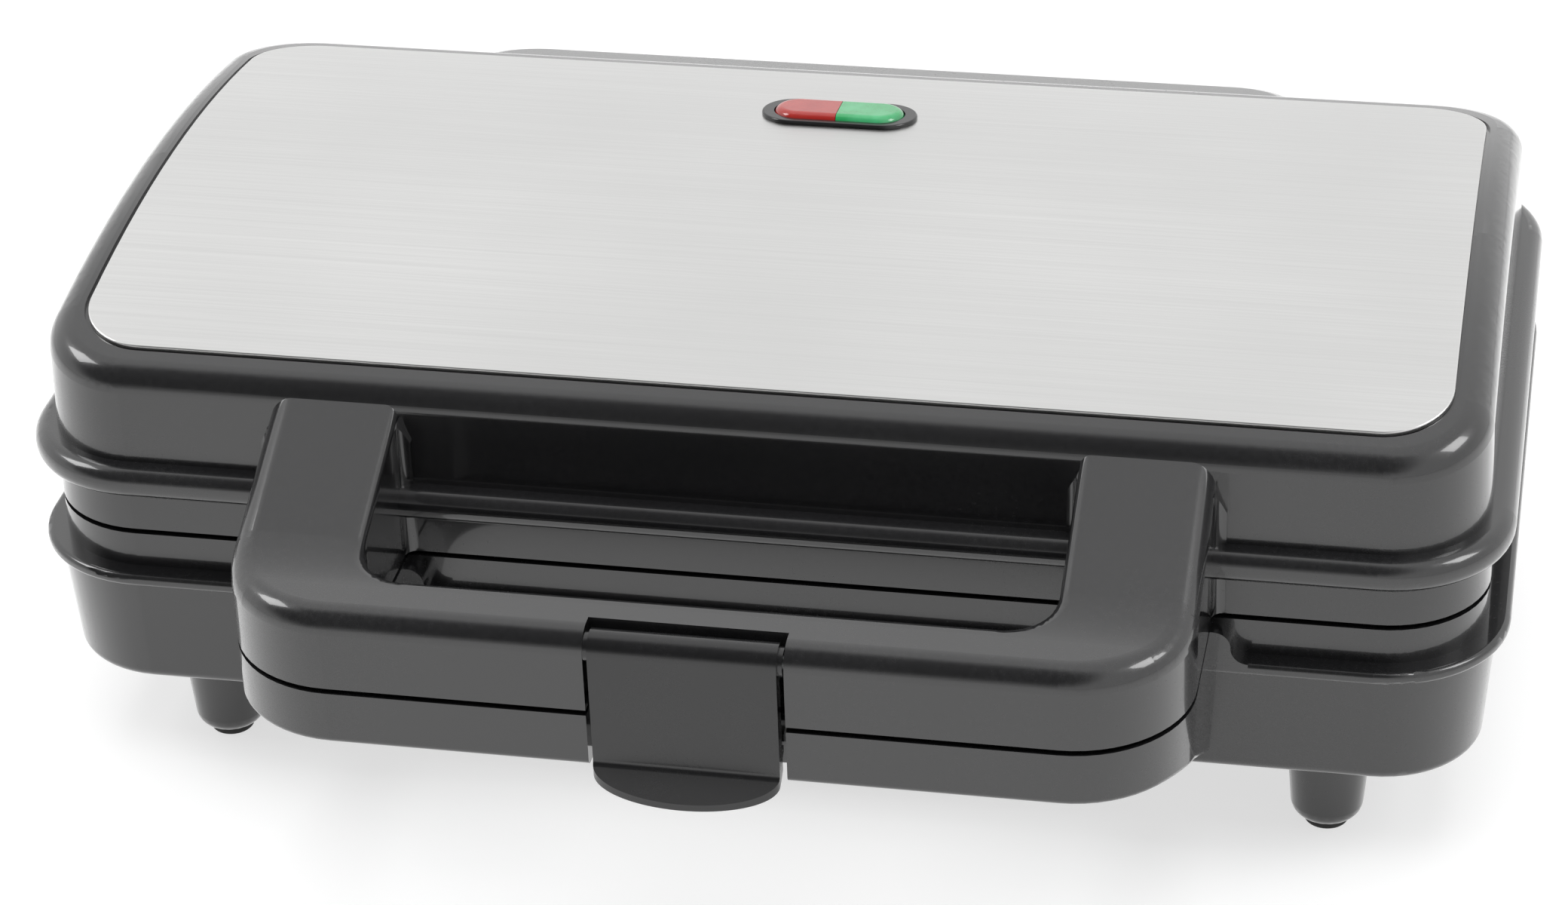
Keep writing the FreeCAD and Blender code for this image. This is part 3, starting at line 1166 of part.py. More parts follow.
def base_shell():
    """Base moulding with the lower handle half, the hinge ears, the cord box and the legs."""
    sweeps = [flange_sweep(x, facing) for x, facing in arm_sides()]
    shell = base_skin().fuse([lower_handle(), cord_box(0, HALF_DEPTH - 3 * WALL)] + sweeps)
    legs = []
    for x, y in foot_places():
        root, tip = FOOT_ROOT_DIAMETER / 2, FOOT_TIP_DIAMETER / 2
        height = TUB_FLOOR - PAD_HEIGHT
        leg = Part.makeCone(tip, root, height, Vector(x, y, PAD_HEIGHT), UP)
        lowest = [edge for edge in leg.Edges if edge.BoundBox.ZMax < PAD_HEIGHT + NEAR]
        legs.append(leg.makeFillet(FOOT_EDGE, lowest))
    shell = shell.fuse(legs + [hinge_ear(-1), hinge_ear(1)])
    shell = shell.cut(base_room().fuse(cord_box(WALL, HALF_DEPTH - 3 * WALL)))
    shell = shell.cut(flip(handle_hollow(HANDLE_DROP, ARM_ROOT_DROP)))
    inside = []
    for x, y in post_places():
        height = 2 * SEAM_HEIGHT - SHIELD_TOP - TUB_UNDERSIDE
        inside.append(rod(BOSS_DIAMETER, Vector(x, y, TUB_UNDERSIDE), UP, height))
    for side in (-1, 1):
        start = Vector(side * CLAMP_SCREW_X, CLAMP_Y, TUB_FLOOR - OVERLAP)
        inside.append(rod(CLAMP_POST_DIAMETER, start, UP, clamp_seat() - TUB_FLOOR + OVERLAP))
    shell = shell.fuse(inside)
    cuts = [latch_notch(0, BASE_TOP + WALL)] + vent_slots()
    for x, y in post_places():
        seat = 2 * SEAM_HEIGHT - SCREW_SEAT
        cuts.append(rod(SCREW_DIAMETER + 2 * SCREW_CLEAR, Vector(x, y, 0), UP, SEAM_HEIGHT))
        cuts.append(rod(SCREW_HEAD_DIAMETER + 2 * SCREW_CLEAR, Vector(x, y, 0), UP, seat))
    for x, y in foot_places():
        plug_hole = PAD_PLUG_DIAMETER + 2 * PIN_PRESS
        cuts.append(rod(plug_hole, Vector(x, y, PAD_HEIGHT), UP, PAD_PLUG_HEIGHT + HOLE_SPARE))
    pin_hole = HINGE_PIN_DIAMETER + 2 * PIN_PRESS
    cuts.append(rod(pin_hole, Vector(-HUMP_WIDTH / 2, HINGE_Y, SEAM_HEIGHT), ACROSS, HUMP_WIDTH))
    inlet = Vector(0, CORD_BOX_REAR - WALL, INLET_HEIGHT)
    cuts.append(rod(INLET_BODY_DIAMETER + 2 * PIN_PRESS, inlet, BACK, WALL))
    for side in (-1, 1):
        start = Vector(side * CLAMP_SCREW_X, CLAMP_Y, TUB_FLOOR)
        cuts.append(rod(SMALL_SCREW_DIAMETER + 2 * THREAD_FIT, start, UP, clamp_seat() - TUB_FLOOR))
    return shell.cut(cuts).fuse(catch())


def foot_pad(x, y):
    """Rubber pad under a leg, with a plug up into it."""
    radius = FOOT_TIP_DIAMETER / 2 - PAD_STEP
    shape = Part.makeCylinder(radius, PAD_HEIGHT, Vector(x, y, 0), UP)
    shape = shape.makeFillet(PAD_EDGE, [edge for edge in shape.Edges if edge.BoundBox.ZMax < NEAR])
    plug = Vector(x, y, PAD_HEIGHT - OVERLAP)
    return shape.fuse(rod(PAD_PLUG_DIAMETER, plug, UP, PAD_PLUG_HEIGHT + OVERLAP))


def hinge_pin(side):
    """Headed steel pin through a base ear into the lid's lug."""
    inner = side * (EAR_X - EAR_WIDTH / 2)
    direction = ACROSS * side
    length = EAR_WIDTH + LUG_SIDE_GAP + LUG_WIDTH
    shape = rod(HINGE_PIN_DIAMETER, Vector(inner, HINGE_Y, SEAM_HEIGHT), direction, length)
    head = Vector(inner, HINGE_Y, SEAM_HEIGHT)
    return shape.fuse(rod(HINGE_PIN_HEAD, head, direction * -1, HINGE_PIN_HEAD_LENGTH))


def cord_inlet():
    """Bush in the cord box wall that the power cord enters through."""
    rear = CORD_BOX_REAR
    start = Vector(0, rear - WALL - INLET_TAIL, INLET_HEIGHT)
    shape = rod(INLET_BODY_DIAMETER, start, BACK, WALL + INLET_TAIL)
    shape = shape.fuse(rod(INLET_FLANGE_DIAMETER, Vector(0, rear, INLET_HEIGHT), BACK, INLET_FLANGE))
    collar = Vector(0, rear - WALL - INLET_FLANGE, INLET_HEIGHT)
    shape = shape.fuse(rod(INLET_COLLAR_DIAMETER, collar, BACK, INLET_FLANGE))
    return shape.cut(rod(INLET_BORE_DIAMETER, start, BACK, WALL + INLET_TAIL + INLET_FLANGE))


def clamp_seat():
    """Top of the two posts that the cord clamp is screwed to."""
    return TUB_FLOOR + CORD_DIAMETER - CORD_SQUEEZE


def cord_clamp():
    """Bridge that grips the cord inside the base."""
    half = CLAMP_SCREW_X + CLAMP_POST_DIAMETER / 2
    seat = clamp_seat()
    y0 = CLAMP_Y - CLAMP_WIDTH / 2
    shape = block(-half, half, y0, y0 + CLAMP_WIDTH, seat, seat + CLAMP_SHEET)
    holes = []
    for side in (-1, 1):
        start = Vector(side * CLAMP_SCREW_X, CLAMP_Y, seat)
        holes.append(rod(SMALL_SCREW_DIAMETER + 2 * FIT_CLEAR, start, UP, CLAMP_SHEET))
    groove = Vector(0, y0, TUB_FLOOR + CORD_DIAMETER / 2)
    return shape.cut(holes + [rod(CORD_DIAMETER, groove, BACK, CLAMP_WIDTH)])


def clamp_screw(side):
    """Screw at one end of the cord clamp."""
    seat = Vector(side * CLAMP_SCREW_X, CLAMP_Y, clamp_seat() + CLAMP_SHEET)
    length = CLAMP_SHEET + clamp_seat() - TUB_FLOOR - HOLE_SPARE
    return screw(SMALL_SCREW_DIAMETER, SMALL_HEAD_DIAMETER, SMALL_HEAD_HEIGHT, seat, UP * -1, length)


def terminal_places():
    """Middle of each pole of the terminal block."""
    return [-TERMINAL_PITCH, 0, TERMINAL_PITCH]


def terminal_block():
    """Three-pole terminal block on the base floor."""
    half_x, half_y = TERMINAL_LENGTH / 2, TERMINAL_WIDTH / 2
    top = TUB_FLOOR + TERMINAL_HEIGHT
    shape = block(-half_x, half_x, TERMINAL_Y - half_y, TERMINAL_Y + half_y, TUB_FLOOR, top)
    wells = []
    for x in terminal_places():
        floor = Vector(x, TERMINAL_Y, top - TERMINAL_WELL_DEPTH)
        wells.append(rod(TERMINAL_WELL_DIAMETER, floor, UP, TERMINAL_WELL_DEPTH))
    return shape.cut(wells)


def terminal_screw(x):
    """Clamping screw head in one well of the terminal block."""
    seat = Vector(x, TERMINAL_Y, TUB_FLOOR + TERMINAL_HEIGHT - TERMINAL_WELL_DEPTH)
    shape = rod(SMALL_HEAD_DIAMETER, seat, UP, SMALL_HEAD_HEIGHT)
    top = seat.z + SMALL_HEAD_HEIGHT
    y0 = TERMINAL_Y - DRIVE_SLOT_WIDTH / 2
    plan = (x - SMALL_HEAD_DIAMETER, x + SMALL_HEAD_DIAMETER, y0, y0 + DRIVE_SLOT_WIDTH)
    return shape.cut(block(*plan, top - DRIVE_SLOT_DEPTH, top))


def earth_place():
    """Place of the earth tag under the lower heat shield."""
    return EARTH_X, TERMINAL_Y - TERMINAL_WIDTH / 2 - 4 * WIRE_BEND


def earth_tag():
    """Round earth tag against the lower heat shield, with a lug that the wire ends on."""
    x, y = earth_place()
    top = 2 * SEAM_HEIGHT - SHIELD_TOP
    shape = rod(EARTH_TAG_DIAMETER, Vector(x, y, top - EARTH_TAG_SHEET), UP, EARTH_TAG_SHEET)
    wing = block(x - EARTH_TAG_DIAMETER, x, y - WIRE_DIAMETER, y + WIRE_DIAMETER, top - EARTH_TAG_SHEET, top)
    lug_x = x - EARTH_TAG_DIAMETER
    lug_z = BASE_WIRE_Z - WIRE_DIAMETER / 2
    lug = block(lug_x, lug_x + EARTH_LUG, y - WIRE_DIAMETER / 2, y + WIRE_DIAMETER / 2, lug_z, top)
    hole = rod(SMALL_SCREW_DIAMETER + 2 * THREAD_FIT, Vector(x, y, 0), UP, top)
    return shape.fuse([wing, lug]).cut(hole)


def earth_screw():
    """Screw of the earth tag."""
    seat = Vector(*earth_place(), 2 * SEAM_HEIGHT - SHIELD_TOP - EARTH_TAG_SHEET)
    length = EARTH_TAG_SHEET + 2 * SHIELD_SHEET
    return screw(SMALL_SCREW_DIAMETER, SMALL_HEAD_DIAMETER, SMALL_HEAD_HEIGHT, seat, UP, length)


def base_wires():
    """Wires of the base: terminal block to each heater end and to the earth tag."""
    z = BASE_WIRE_Z
    front = TERMINAL_Y - TERMINAL_WIDTH / 2
    heater_z = 2 * SEAM_HEIGHT - HEATER_Z
    pin_x = -HEATER_END_X - HEATER_PIN_LENGTH
    rise_x = -SHIELD_HALF_WIDTH - 2 * WIRE_DIAMETER
    lane = HEATER_Y - 3 * WIRE_BEND
    earth_x, earth_y = earth_place()
    runs = []
    for x, side in ((-TERMINAL_PITCH, 1), (0, -1)):
        points = [Vector(x, front, z), Vector(x, side * lane, z), Vector(rise_x, side * lane, z)]
        points += [Vector(rise_x, side * lane, heater_z), Vector(-WIRE_X, side * lane, heater_z)]
        points += [Vector(-WIRE_X, side * HEATER_Y, heater_z), Vector(pin_x, side * HEATER_Y, heater_z)]
        runs.append(wire_run(points))
    points = [Vector(TERMINAL_PITCH, front, z), Vector(TERMINAL_PITCH, earth_y, z)]
    runs.append(wire_run(points + [Vector(earth_x - EARTH_TAG_DIAMETER, earth_y, z)]))
    return runs


def main():
    """Build every node of the donut maker."""
    os.makedirs("parts", exist_ok=True)
    sides = (-1, 1)
    plate = mould_plate()
    tube = heater()
    clips = [saddle_clip(x, y, HEATER_PAD, HEATER_DIAMETER, CLIP_EAR) for x, y in clip_places()]
    clips = [solid for clip in clips for solid in clip]
    rivets = []
    for x, y in clip_places():
        rivets += [rivet(x, y + side * rivet_offset(HEATER_DIAMETER, CLIP_EAR), HEATER_PAD) for side in sides]
    screws = [plate_screw(x, y) for x, y in post_places()]
    export("lid_shell", lid_shell())
    export("top_panel", top_panel())
    export("indicator_bezel", indicator_bezel())
    export("power_lens", indicator_lens(-1))
    export("ready_lens", indicator_lens(1))
    export("indicator_lamps", *[indicator_lamp(side) for side in sides])
    export("lamp_board", lamp_board())
    export("lamp_board_screws", *[board_screw(side) for side in sides])
    export("upper_plate", plate)
    export("upper_heater", tube)
    export("upper_heater_clips", *clips)
    export("upper_clip_rivets", *rivets)
    export("upper_heat_shield", heat_shield(True))
    export("upper_plate_screws", *screws)
    export("thermostat", thermostat())
    export("thermostat_screws", *[thermostat_screw(side) for side in sides])
    export("thermal_fuse", thermal_fuse())
    export("fuse_clip", *saddle_clip(-BETWEEN_X, 0, SENSOR_SEAT, FUSE_DIAMETER, fuse_ear()))
    fuse_rivet_y = rivet_offset(FUSE_DIAMETER, fuse_ear())
    export("fuse_rivets", *[rivet(-BETWEEN_X, side * fuse_rivet_y, SENSOR_SEAT) for side in sides])
    export("lid_wires", *lid_wires())
    export("harness_grommet", harness_grommet())
    export("latch_clip", latch_clip())
    export("latch_pin", latch_pin())
    export("base_shell", base_shell())
    export("foot_pads", *[foot_pad(x, y) for x, y in foot_places()])
    export("lower_plate", flip(plate))
    export("lower_heater", flip(tube))
    export("lower_heater_clips", *[flip(clip) for clip in clips])
    export("lower_clip_rivets", *[flip(shape) for shape in rivets])
    export("lower_heat_shield", flip(heat_shield(False)))
    export("lower_plate_screws", *[flip(shape) for shape in screws])
    export("hinge_pins", *[hinge_pin(side) for side in sides])
    export("cord_inlet", cord_inlet())
    export("cord_clamp", cord_clamp())
    export("cord_clamp_screws", *[clamp_screw(side) for side in sides])
    export("terminal_block", terminal_block())
    export("terminal_screws", *[terminal_screw(x) for x in terminal_places()])
    export("earth_tag", earth_tag())
    export("earth_screw", earth_screw())
    export("base_wires", *base_wires())


main()
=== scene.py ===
import logging
import math
from dataclasses import dataclass
from enum import Enum
from typing import Any

import bmesh
import bpy
import numpy as np
from mathutils import Matrix, Vector


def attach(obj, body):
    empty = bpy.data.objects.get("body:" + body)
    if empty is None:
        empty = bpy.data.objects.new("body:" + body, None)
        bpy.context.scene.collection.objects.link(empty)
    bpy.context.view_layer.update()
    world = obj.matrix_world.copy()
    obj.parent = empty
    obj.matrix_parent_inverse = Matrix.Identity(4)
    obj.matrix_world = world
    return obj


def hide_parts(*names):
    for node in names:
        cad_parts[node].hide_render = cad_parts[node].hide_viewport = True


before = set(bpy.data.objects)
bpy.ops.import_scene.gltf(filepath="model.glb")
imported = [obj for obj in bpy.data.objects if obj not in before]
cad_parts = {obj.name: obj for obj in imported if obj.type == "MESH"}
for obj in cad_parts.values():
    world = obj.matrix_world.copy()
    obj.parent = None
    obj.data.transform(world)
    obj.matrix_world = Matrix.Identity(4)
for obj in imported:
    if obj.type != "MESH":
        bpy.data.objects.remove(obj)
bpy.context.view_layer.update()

LOG = logging.getLogger("donut_maker")
MM = 0.001

# Length of a brush stroke, as a multiple of its width.
STROKE_LENGTH = 160.0
# Distances from a fleck's middle, in cells, at which it ends and is at its full height.
FLECK_EDGE = 0.30
FLECK_CORE = 0.12
# Lean of the two sets of threads in a braid.
THREAD_LEAN = math.radians(35)
# Radians that Blender's wave texture at scale 1 goes through in one metre.
WAVE_RATE = 20.0
# Octaves of noise in the brush strokes, the mould grain and the broad patches.
STROKE_DETAIL = 4.0
GRAIN_DETAIL = 3.0
PATCH_DETAIL = 2.0
# Values of the pattern times the patches at which the first and the second colour are pure.
FIRST_PURE = 0.1
SECOND_PURE = 0.45
# The colour sockets of a Mix node, which share their names with its other sockets.
MIX_FIRST = 6
MIX_SECOND = 7


def linear(code: str) -> tuple[float, float, float, float]:
    """Turn an sRGB hex colour into linear light, with the numbers of the sRGB standard.

    Args:
        code: Colour as "#rrggbb".

    Returns:
        Red, green, blue and a full alpha.
    """
    channels = [int(code[start:start + 2], 16) / 255 for start in (1, 3, 5)]
    light = [c / 12.92 if c <= 0.04045 else ((c + 0.055) / 1.055) ** 2.4 for c in channels]
    return light[0], light[1], light[2], 1.0


def add_node(
    tree: bpy.types.NodeTree, kind: str, inputs: dict[str | int, Any] | None = None, **settings: Any
) -> bpy.types.Node:
    """Add one node with its settings, values and links.

    Args:
        tree: Tree that gets the node.
        kind: Blender's name for the node type.
        inputs: Value, or output socket to link from, for each input's name or number.
        settings: Attributes of the node itself.

    Returns:
        The new node.
    """
    node = tree.nodes.new(kind)
    for name, value in settings.items():
        setattr(node, name, value)
    for key, value in (inputs or {}).items():
        if isinstance(value, bpy.types.NodeSocket):
            tree.links.new(value, node.inputs[key])
        else:
            node.inputs[key].default_value = value
    return node


class Pattern(Enum):
    """Patterns that a way of making leaves on a surface."""

    GRAIN = "fine grain of a mould"
    BRUSHED = "brush lines along X"
    FLECKS = "flecks in a sprayed coat"
    SPANGLE = "crystals of a coated sheet"
    BRAID = "crossed threads of a sleeve"


@dataclass(frozen=True)
class Finish:
    """One real material: its colours, its gloss and the pattern on its surface.

    Sizes are in millimetres. The colour moves to the second one with the pattern and over broad
    patches, and the roughness moves from its first value to its second along with it.
    """

    name: str
    colour: str
    second_colour: str
    roughness: tuple[float, float]
    pattern: Pattern
    pattern_mm: float
    relief_mm: float
    patch_mm: float
    metallic: float = 0.0
    ior: float = 1.5
    anisotropy: float = 0.0
    coat: float = 0.0
    coat_roughness: float = 0.1
    transmission: float = 0.0

    def pattern_height(
        self, tree: bpy.types.NodeTree, place: bpy.types.NodeSocket
    ) -> bpy.types.NodeSocket:
        """Draw the surface pattern.

        Args:
            tree: Material tree.
            place: Object coordinates in metres.

        Returns:
            Height of the pattern, from 0 to 1.
        """
        cells = 1 / (self.pattern_mm * MM)
        if self.pattern is Pattern.BRUSHED:
            stretch = (cells / STROKE_LENGTH, cells, cells)
            lines = add_node(tree, "ShaderNodeMapping", {"Vector": place, "Scale": stretch})
            strokes = add_node(tree, "ShaderNodeTexNoise", {
                "Vector": lines.outputs[0], "Scale": 1.0, "Detail": STROKE_DETAIL,
            })
            return strokes.outputs[0]
        if self.pattern is Pattern.FLECKS:
            flecks = add_node(tree, "ShaderNodeTexVoronoi", {"Vector": place, "Scale": cells})
            raised = add_node(tree, "ShaderNodeMapRange", {
                "Value": flecks.outputs["Distance"], "From Min": FLECK_EDGE, "From Max": FLECK_CORE,
            })
            return raised.outputs[0]
        if self.pattern is Pattern.SPANGLE:
            crystals = add_node(tree, "ShaderNodeTexVoronoi", {"Vector": place, "Scale": cells})
            shades = add_node(tree, "ShaderNodeSeparateColor", {"Color": crystals.outputs["Color"]})
            return shades.outputs[0]
        if self.pattern is Pattern.BRAID:
            threads = []
            for lean in (THREAD_LEAN, -THREAD_LEAN):
                leant = add_node(tree, "ShaderNodeMapping", {
                    "Vector": place, "Rotation": (lean, lean, lean),
                })
                wave = add_node(tree, "ShaderNodeTexWave", {
                    "Vector": leant.outputs[0], "Scale": 2 * math.pi * cells / WAVE_RATE,
                })
                threads.append(wave.outputs[1])
            crossed = add_node(tree, "ShaderNodeMath", {
                0: threads[0], 1: threads[1],
            }, operation="MAXIMUM")
            return crossed.outputs[0]
        grain = add_node(tree, "ShaderNodeTexNoise", {
            "Vector": place, "Scale": cells, "Detail": GRAIN_DETAIL,
        })
        return grain.outputs[0]

    def material(self) -> bpy.types.Material:
        """Make the material, or give back the one that this finish already made.

        Returns:
            Material with a procedural tree.
        """
        made = bpy.data.materials.get(self.name)
        if made:
            return made
        made = bpy.data.materials.new(self.name)
        made.use_nodes = True
        tree = made.node_tree
        tree.nodes.clear()
        place = add_node(tree, "ShaderNodeTexCoord").outputs["Object"]
        height = self.pattern_height(tree, place)
        patches = add_node(tree, "ShaderNodeTexNoise", {
            "Vector": place, "Scale": 1 / (self.patch_mm * MM), "Detail": PATCH_DETAIL,
        })
        both = add_node(tree, "ShaderNodeMath", {0: height, 1: patches.outputs[0]}, operation="MULTIPLY")
        spread = add_node(tree, "ShaderNodeMapRange", {
            "Value": both.outputs[0], "From Min": FIRST_PURE, "From Max": SECOND_PURE,
        })
        colour = add_node(tree, "ShaderNodeMix", {
            0: spread.outputs[0], MIX_FIRST: linear(self.colour), MIX_SECOND: linear(self.second_colour),
        }, data_type="RGBA")
        gloss = add_node(tree, "ShaderNodeMapRange", {
            "Value": spread.outputs[0], "To Min": self.roughness[0], "To Max": self.roughness[1],
        })
        bump = add_node(tree, "ShaderNodeBump", {"Height": height, "Distance": self.relief_mm * MM})
        surface = {
            "Base Color": colour.outputs[2],
            "Roughness": gloss.outputs[0],
            "Normal": bump.outputs[0],
            "Metallic": self.metallic,
            "Anisotropic": self.anisotropy,
            "Coat Weight": self.coat,
            "Coat Roughness": self.coat_roughness,
            "Transmission Weight": self.transmission,
        }
        if not self.metallic:
            surface["IOR"] = self.ior
        if self.anisotropy:
            around = add_node(tree, "ShaderNodeTangent", direction_type="RADIAL", axis="X")
            surface["Tangent"] = around.outputs[0]
        shader = add_node(tree, "ShaderNodeBsdfPrincipled", surface)
        add_node(tree, "ShaderNodeOutputMaterial", {"Surface": shader.outputs[0]})
        return made


# ABS moulded in a polished tool: near black, with a clear gloss that mirrors the room softly.
CASING_ABS = Finish(
    name="black_abs_moulded",
    colour="#171718",
    second_colour="#202021",
    roughness=(0.22, 0.29),
    pattern=Pattern.GRAIN,
    pattern_mm=0.9,
    relief_mm=0.004,
    patch_mm=60.0,
    ior=1.48,
    coat=0.92,
    coat_roughness=0.06,
)
# Acetal moulded in the same way: a little darker than the casing, with a weaker gloss.
LATCH_ACETAL = Finish(
    name="black_acetal_moulded",
    colour="#141415",
    second_colour="#1b1b1c",
    roughness=(0.24, 0.3),
    pattern=Pattern.GRAIN,
    pattern_mm=0.8,
    relief_mm=0.006,
    patch_mm=25.0,
    ior=1.46,
    coat=0.45,
    coat_roughness=0.08,
)
# Stainless sheet, belt brushed along its length: pale, with soft streaks, and highlights that
# stretch across the strokes. The strokes are drawn wider than real ones, to show.
PANEL_STEEL = Finish(
    name="stainless_steel_brushed",
    colour="#d9d9d8",
    second_colour="#e7e7e6",
    roughness=(0.28, 0.34),
    pattern=Pattern.BRUSHED,
    pattern_mm=0.5,
    relief_mm=0.003,
    patch_mm=70.0,
    metallic=1.0,
    anisotropy=0.6,
)
# Polycarbonate from a polished tool: black, with small sharp highlights.
BEZEL_PC = Finish(
    name="black_polycarbonate_polished",
    colour="#141415",
    second_colour="#1c1c1d",
    roughness=(0.12, 0.18),
    pattern=Pattern.GRAIN,
    pattern_mm=1.5,
    relief_mm=0.004,
    patch_mm=12.0,
    ior=1.58,
)
# Tinted polycarbonate of the two lenses: some light comes through, so the colour looks deep, and
# its shade wanders a little.
RED_LENS = Finish(
    name="red_polycarbonate_lens",
    colour="#a41d18",
    second_colour="#b8382f",
    roughness=(0.1, 0.16),
    pattern=Pattern.GRAIN,
    pattern_mm=3.0,
    relief_mm=0.006,
    patch_mm=8.0,
    ior=1.58,
    coat=0.4,
    transmission=0.25,
)
GREEN_LENS = Finish(
    name="green_polycarbonate_lens",
    colour="#249f58",
    second_colour="#4cb87c",
    roughness=(0.1, 0.16),
    pattern=Pattern.GRAIN,
    pattern_mm=3.0,
    relief_mm=0.006,
    patch_mm=8.0,
    ior=1.58,
    coat=0.4,
    transmission=0.25,
)
# Drawn glass of the neon lamps: clear, with bright edges.
LAMP_GLASS = Finish(
    name="lamp_glass_drawn",
    colour="#f4efe8",
    second_colour="#ffffff",
    roughness=(0.02, 0.05),
    pattern=Pattern.GRAIN,
    pattern_mm=3.0,
    relief_mm=0.01,
    patch_mm=5.0,
    transmission=0.9,
)
# Pressed paper laminate of the lamp board: tan, mottled and half matt.
BOARD_LAMINATE = Finish(
    name="phenolic_paper_laminate",
    colour="#8a6a35",
    second_colour="#a5854a",
    roughness=(0.4, 0.5),
    pattern=Pattern.GRAIN,
    pattern_mm=0.8,
    relief_mm=0.02,
    patch_mm=10.0,
)
# Die-cast aluminium under a sprayed non-stick coat: dark grey with fine pale flecks, which are
# drawn larger than real ones, to show.
NONSTICK_COAT = Finish(
    name="nonstick_coat_sprayed",
    colour="#2a2b2d",
    second_colour="#56585b",
    roughness=(0.36, 0.46),
    pattern=Pattern.FLECKS,
    pattern_mm=1.4,
    relief_mm=0.01,
    patch_mm=30.0,
    ior=1.4,
    coat=0.15,
)
# Drawn steel tube of the heaters: grey that heat has tinted straw to brown.
HEATER_TUBE = Finish(
    name="heater_tube_heat_tinted",
    colour="#6b6258",
    second_colour="#8d7a5c",
    roughness=(0.35, 0.5),
    pattern=Pattern.GRAIN,
    pattern_mm=6.0,
    relief_mm=0.01,
    patch_mm=35.0,
    metallic=1.0,
)
# Aluminised sheet, pressed to shape: dull silver with faint crystals.
SHIELD_SHEET = Finish(
    name="aluminised_sheet_pressed",
    colour="#a9abac",
    second_colour="#c4c6c7",
    roughness=(0.35, 0.48),
    pattern=Pattern.SPANGLE,
    pattern_mm=7.0,
    relief_mm=0.004,
    patch_mm=50.0,
    metallic=1.0,
)
# Zinc plate on cold-headed steel: bright, cool grey.
ZINC_PLATE = Finish(
    name="zinc_plated_steel",
    colour="#b4b6b8",
    second_colour="#d2d4d5",
    roughness=(0.25, 0.36),
    pattern=Pattern.GRAIN,
    pattern_mm=0.6,
    relief_mm=0.01,
    patch_mm=4.0,
    metallic=1.0,
)
# Moulded phenolic of the thermostat: dark brown and dull.
PHENOLIC = Finish(
    name="brown_phenolic_moulded",
    colour="#3a2218",
    second_colour="#4b2f22",
    roughness=(0.42, 0.52),
    pattern=Pattern.GRAIN,
    pattern_mm=0.5,
    relief_mm=0.02,
    patch_mm=8.0,
)
# Drawn aluminium case of the fuse: warm grey with a soft sheen.
FUSE_CASE = Finish(
    name="aluminium_case_drawn",
    colour="#bdbab4",
    second_colour="#d0cdc7",
    roughness=(0.3, 0.4),
    pattern=Pattern.GRAIN,
    pattern_mm=0.8,
    relief_mm=0.01,
    patch_mm=6.0,
    metallic=1.0,
)
# Braided glass sleeve of the heater leads: cream and dull. Its crossed threads are drawn several
# times wider than real ones, to show.
WIRE_SLEEVE = Finish(
    name="glass_braid_sleeve",
    colour="#d9d4c6",
    second_colour="#b7b09e",
    roughness=(0.6, 0.75),
    pattern=Pattern.BRAID,
    pattern_mm=4.4,
    relief_mm=0.08,
    patch_mm=14.0,
)
# Moulded rubber of the feet and the grommet: black, with no clear highlight.
RUBBER = Finish(
    name="black_rubber_moulded",
    colour="#1a1a1a",
    second_colour="#272726",
    roughness=(0.55, 0.7),
    pattern=Pattern.GRAIN,
    pattern_mm=0.5,
    relief_mm=0.03,
    patch_mm=9.0,
)
# Moulded nylon of the cord inlet and clamp: satin black.
BLACK_NYLON = Finish(
    name="black_nylon_moulded",
    colour="#1d1d1d",
    second_colour="#282828",
    roughness=(0.4, 0.5),
    pattern=Pattern.GRAIN,
    pattern_mm=0.5,
    relief_mm=0.02,
    patch_mm=10.0,
    ior=1.53,
)
# Moulded nylon of the terminal block, without pigment: a satin cream.
PALE_NYLON = Finish(
    name="natural_nylon_moulded",
    colour="#d8d3c4",
    second_colour="#e4e0d4",
    roughness=(0.4, 0.5),
    pattern=Pattern.GRAIN,
    pattern_mm=0.7,
    relief_mm=0.02,
    patch_mm=12.0,
    ior=1.53,
)
# Brass of the terminal screws and the earth tag: warm yellow with a soft shine.
BRASS = Finish(
    name="brass_turned",
    colour="#b5913f",
    second_colour="#cdab5c",
    roughness=(0.25, 0.35),
    pattern=Pattern.GRAIN,
    pattern_mm=0.6,
    relief_mm=0.01,
    patch_mm=5.0,
    metallic=1.0,
)


def dress(finish: Finish, *nodes: str) -> None:
    """Give CAD nodes a finish in place of their plain colour.

    Args:
        finish: Finish to use.
        nodes: Names of the nodes.
    """
    for node in nodes:
        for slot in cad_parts[node].material_slots:
            slot.material = finish.material()
        LOG.info("%s: %s", node, finish.name)


class Recess(Enum):
    """Driver recess of a fastener's head, as the number of bars that cross in it."""

    NONE = 0
    SLOT = 1
    CROSS = 2


@dataclass(frozen=True)
class Measured:
    """One fastener as it was found: its seat, the way its head faces, and its sizes in metres."""

    seat: tuple[float, float, float]
    facing: tuple[float, float, float]
    sizes: dict[str, float]


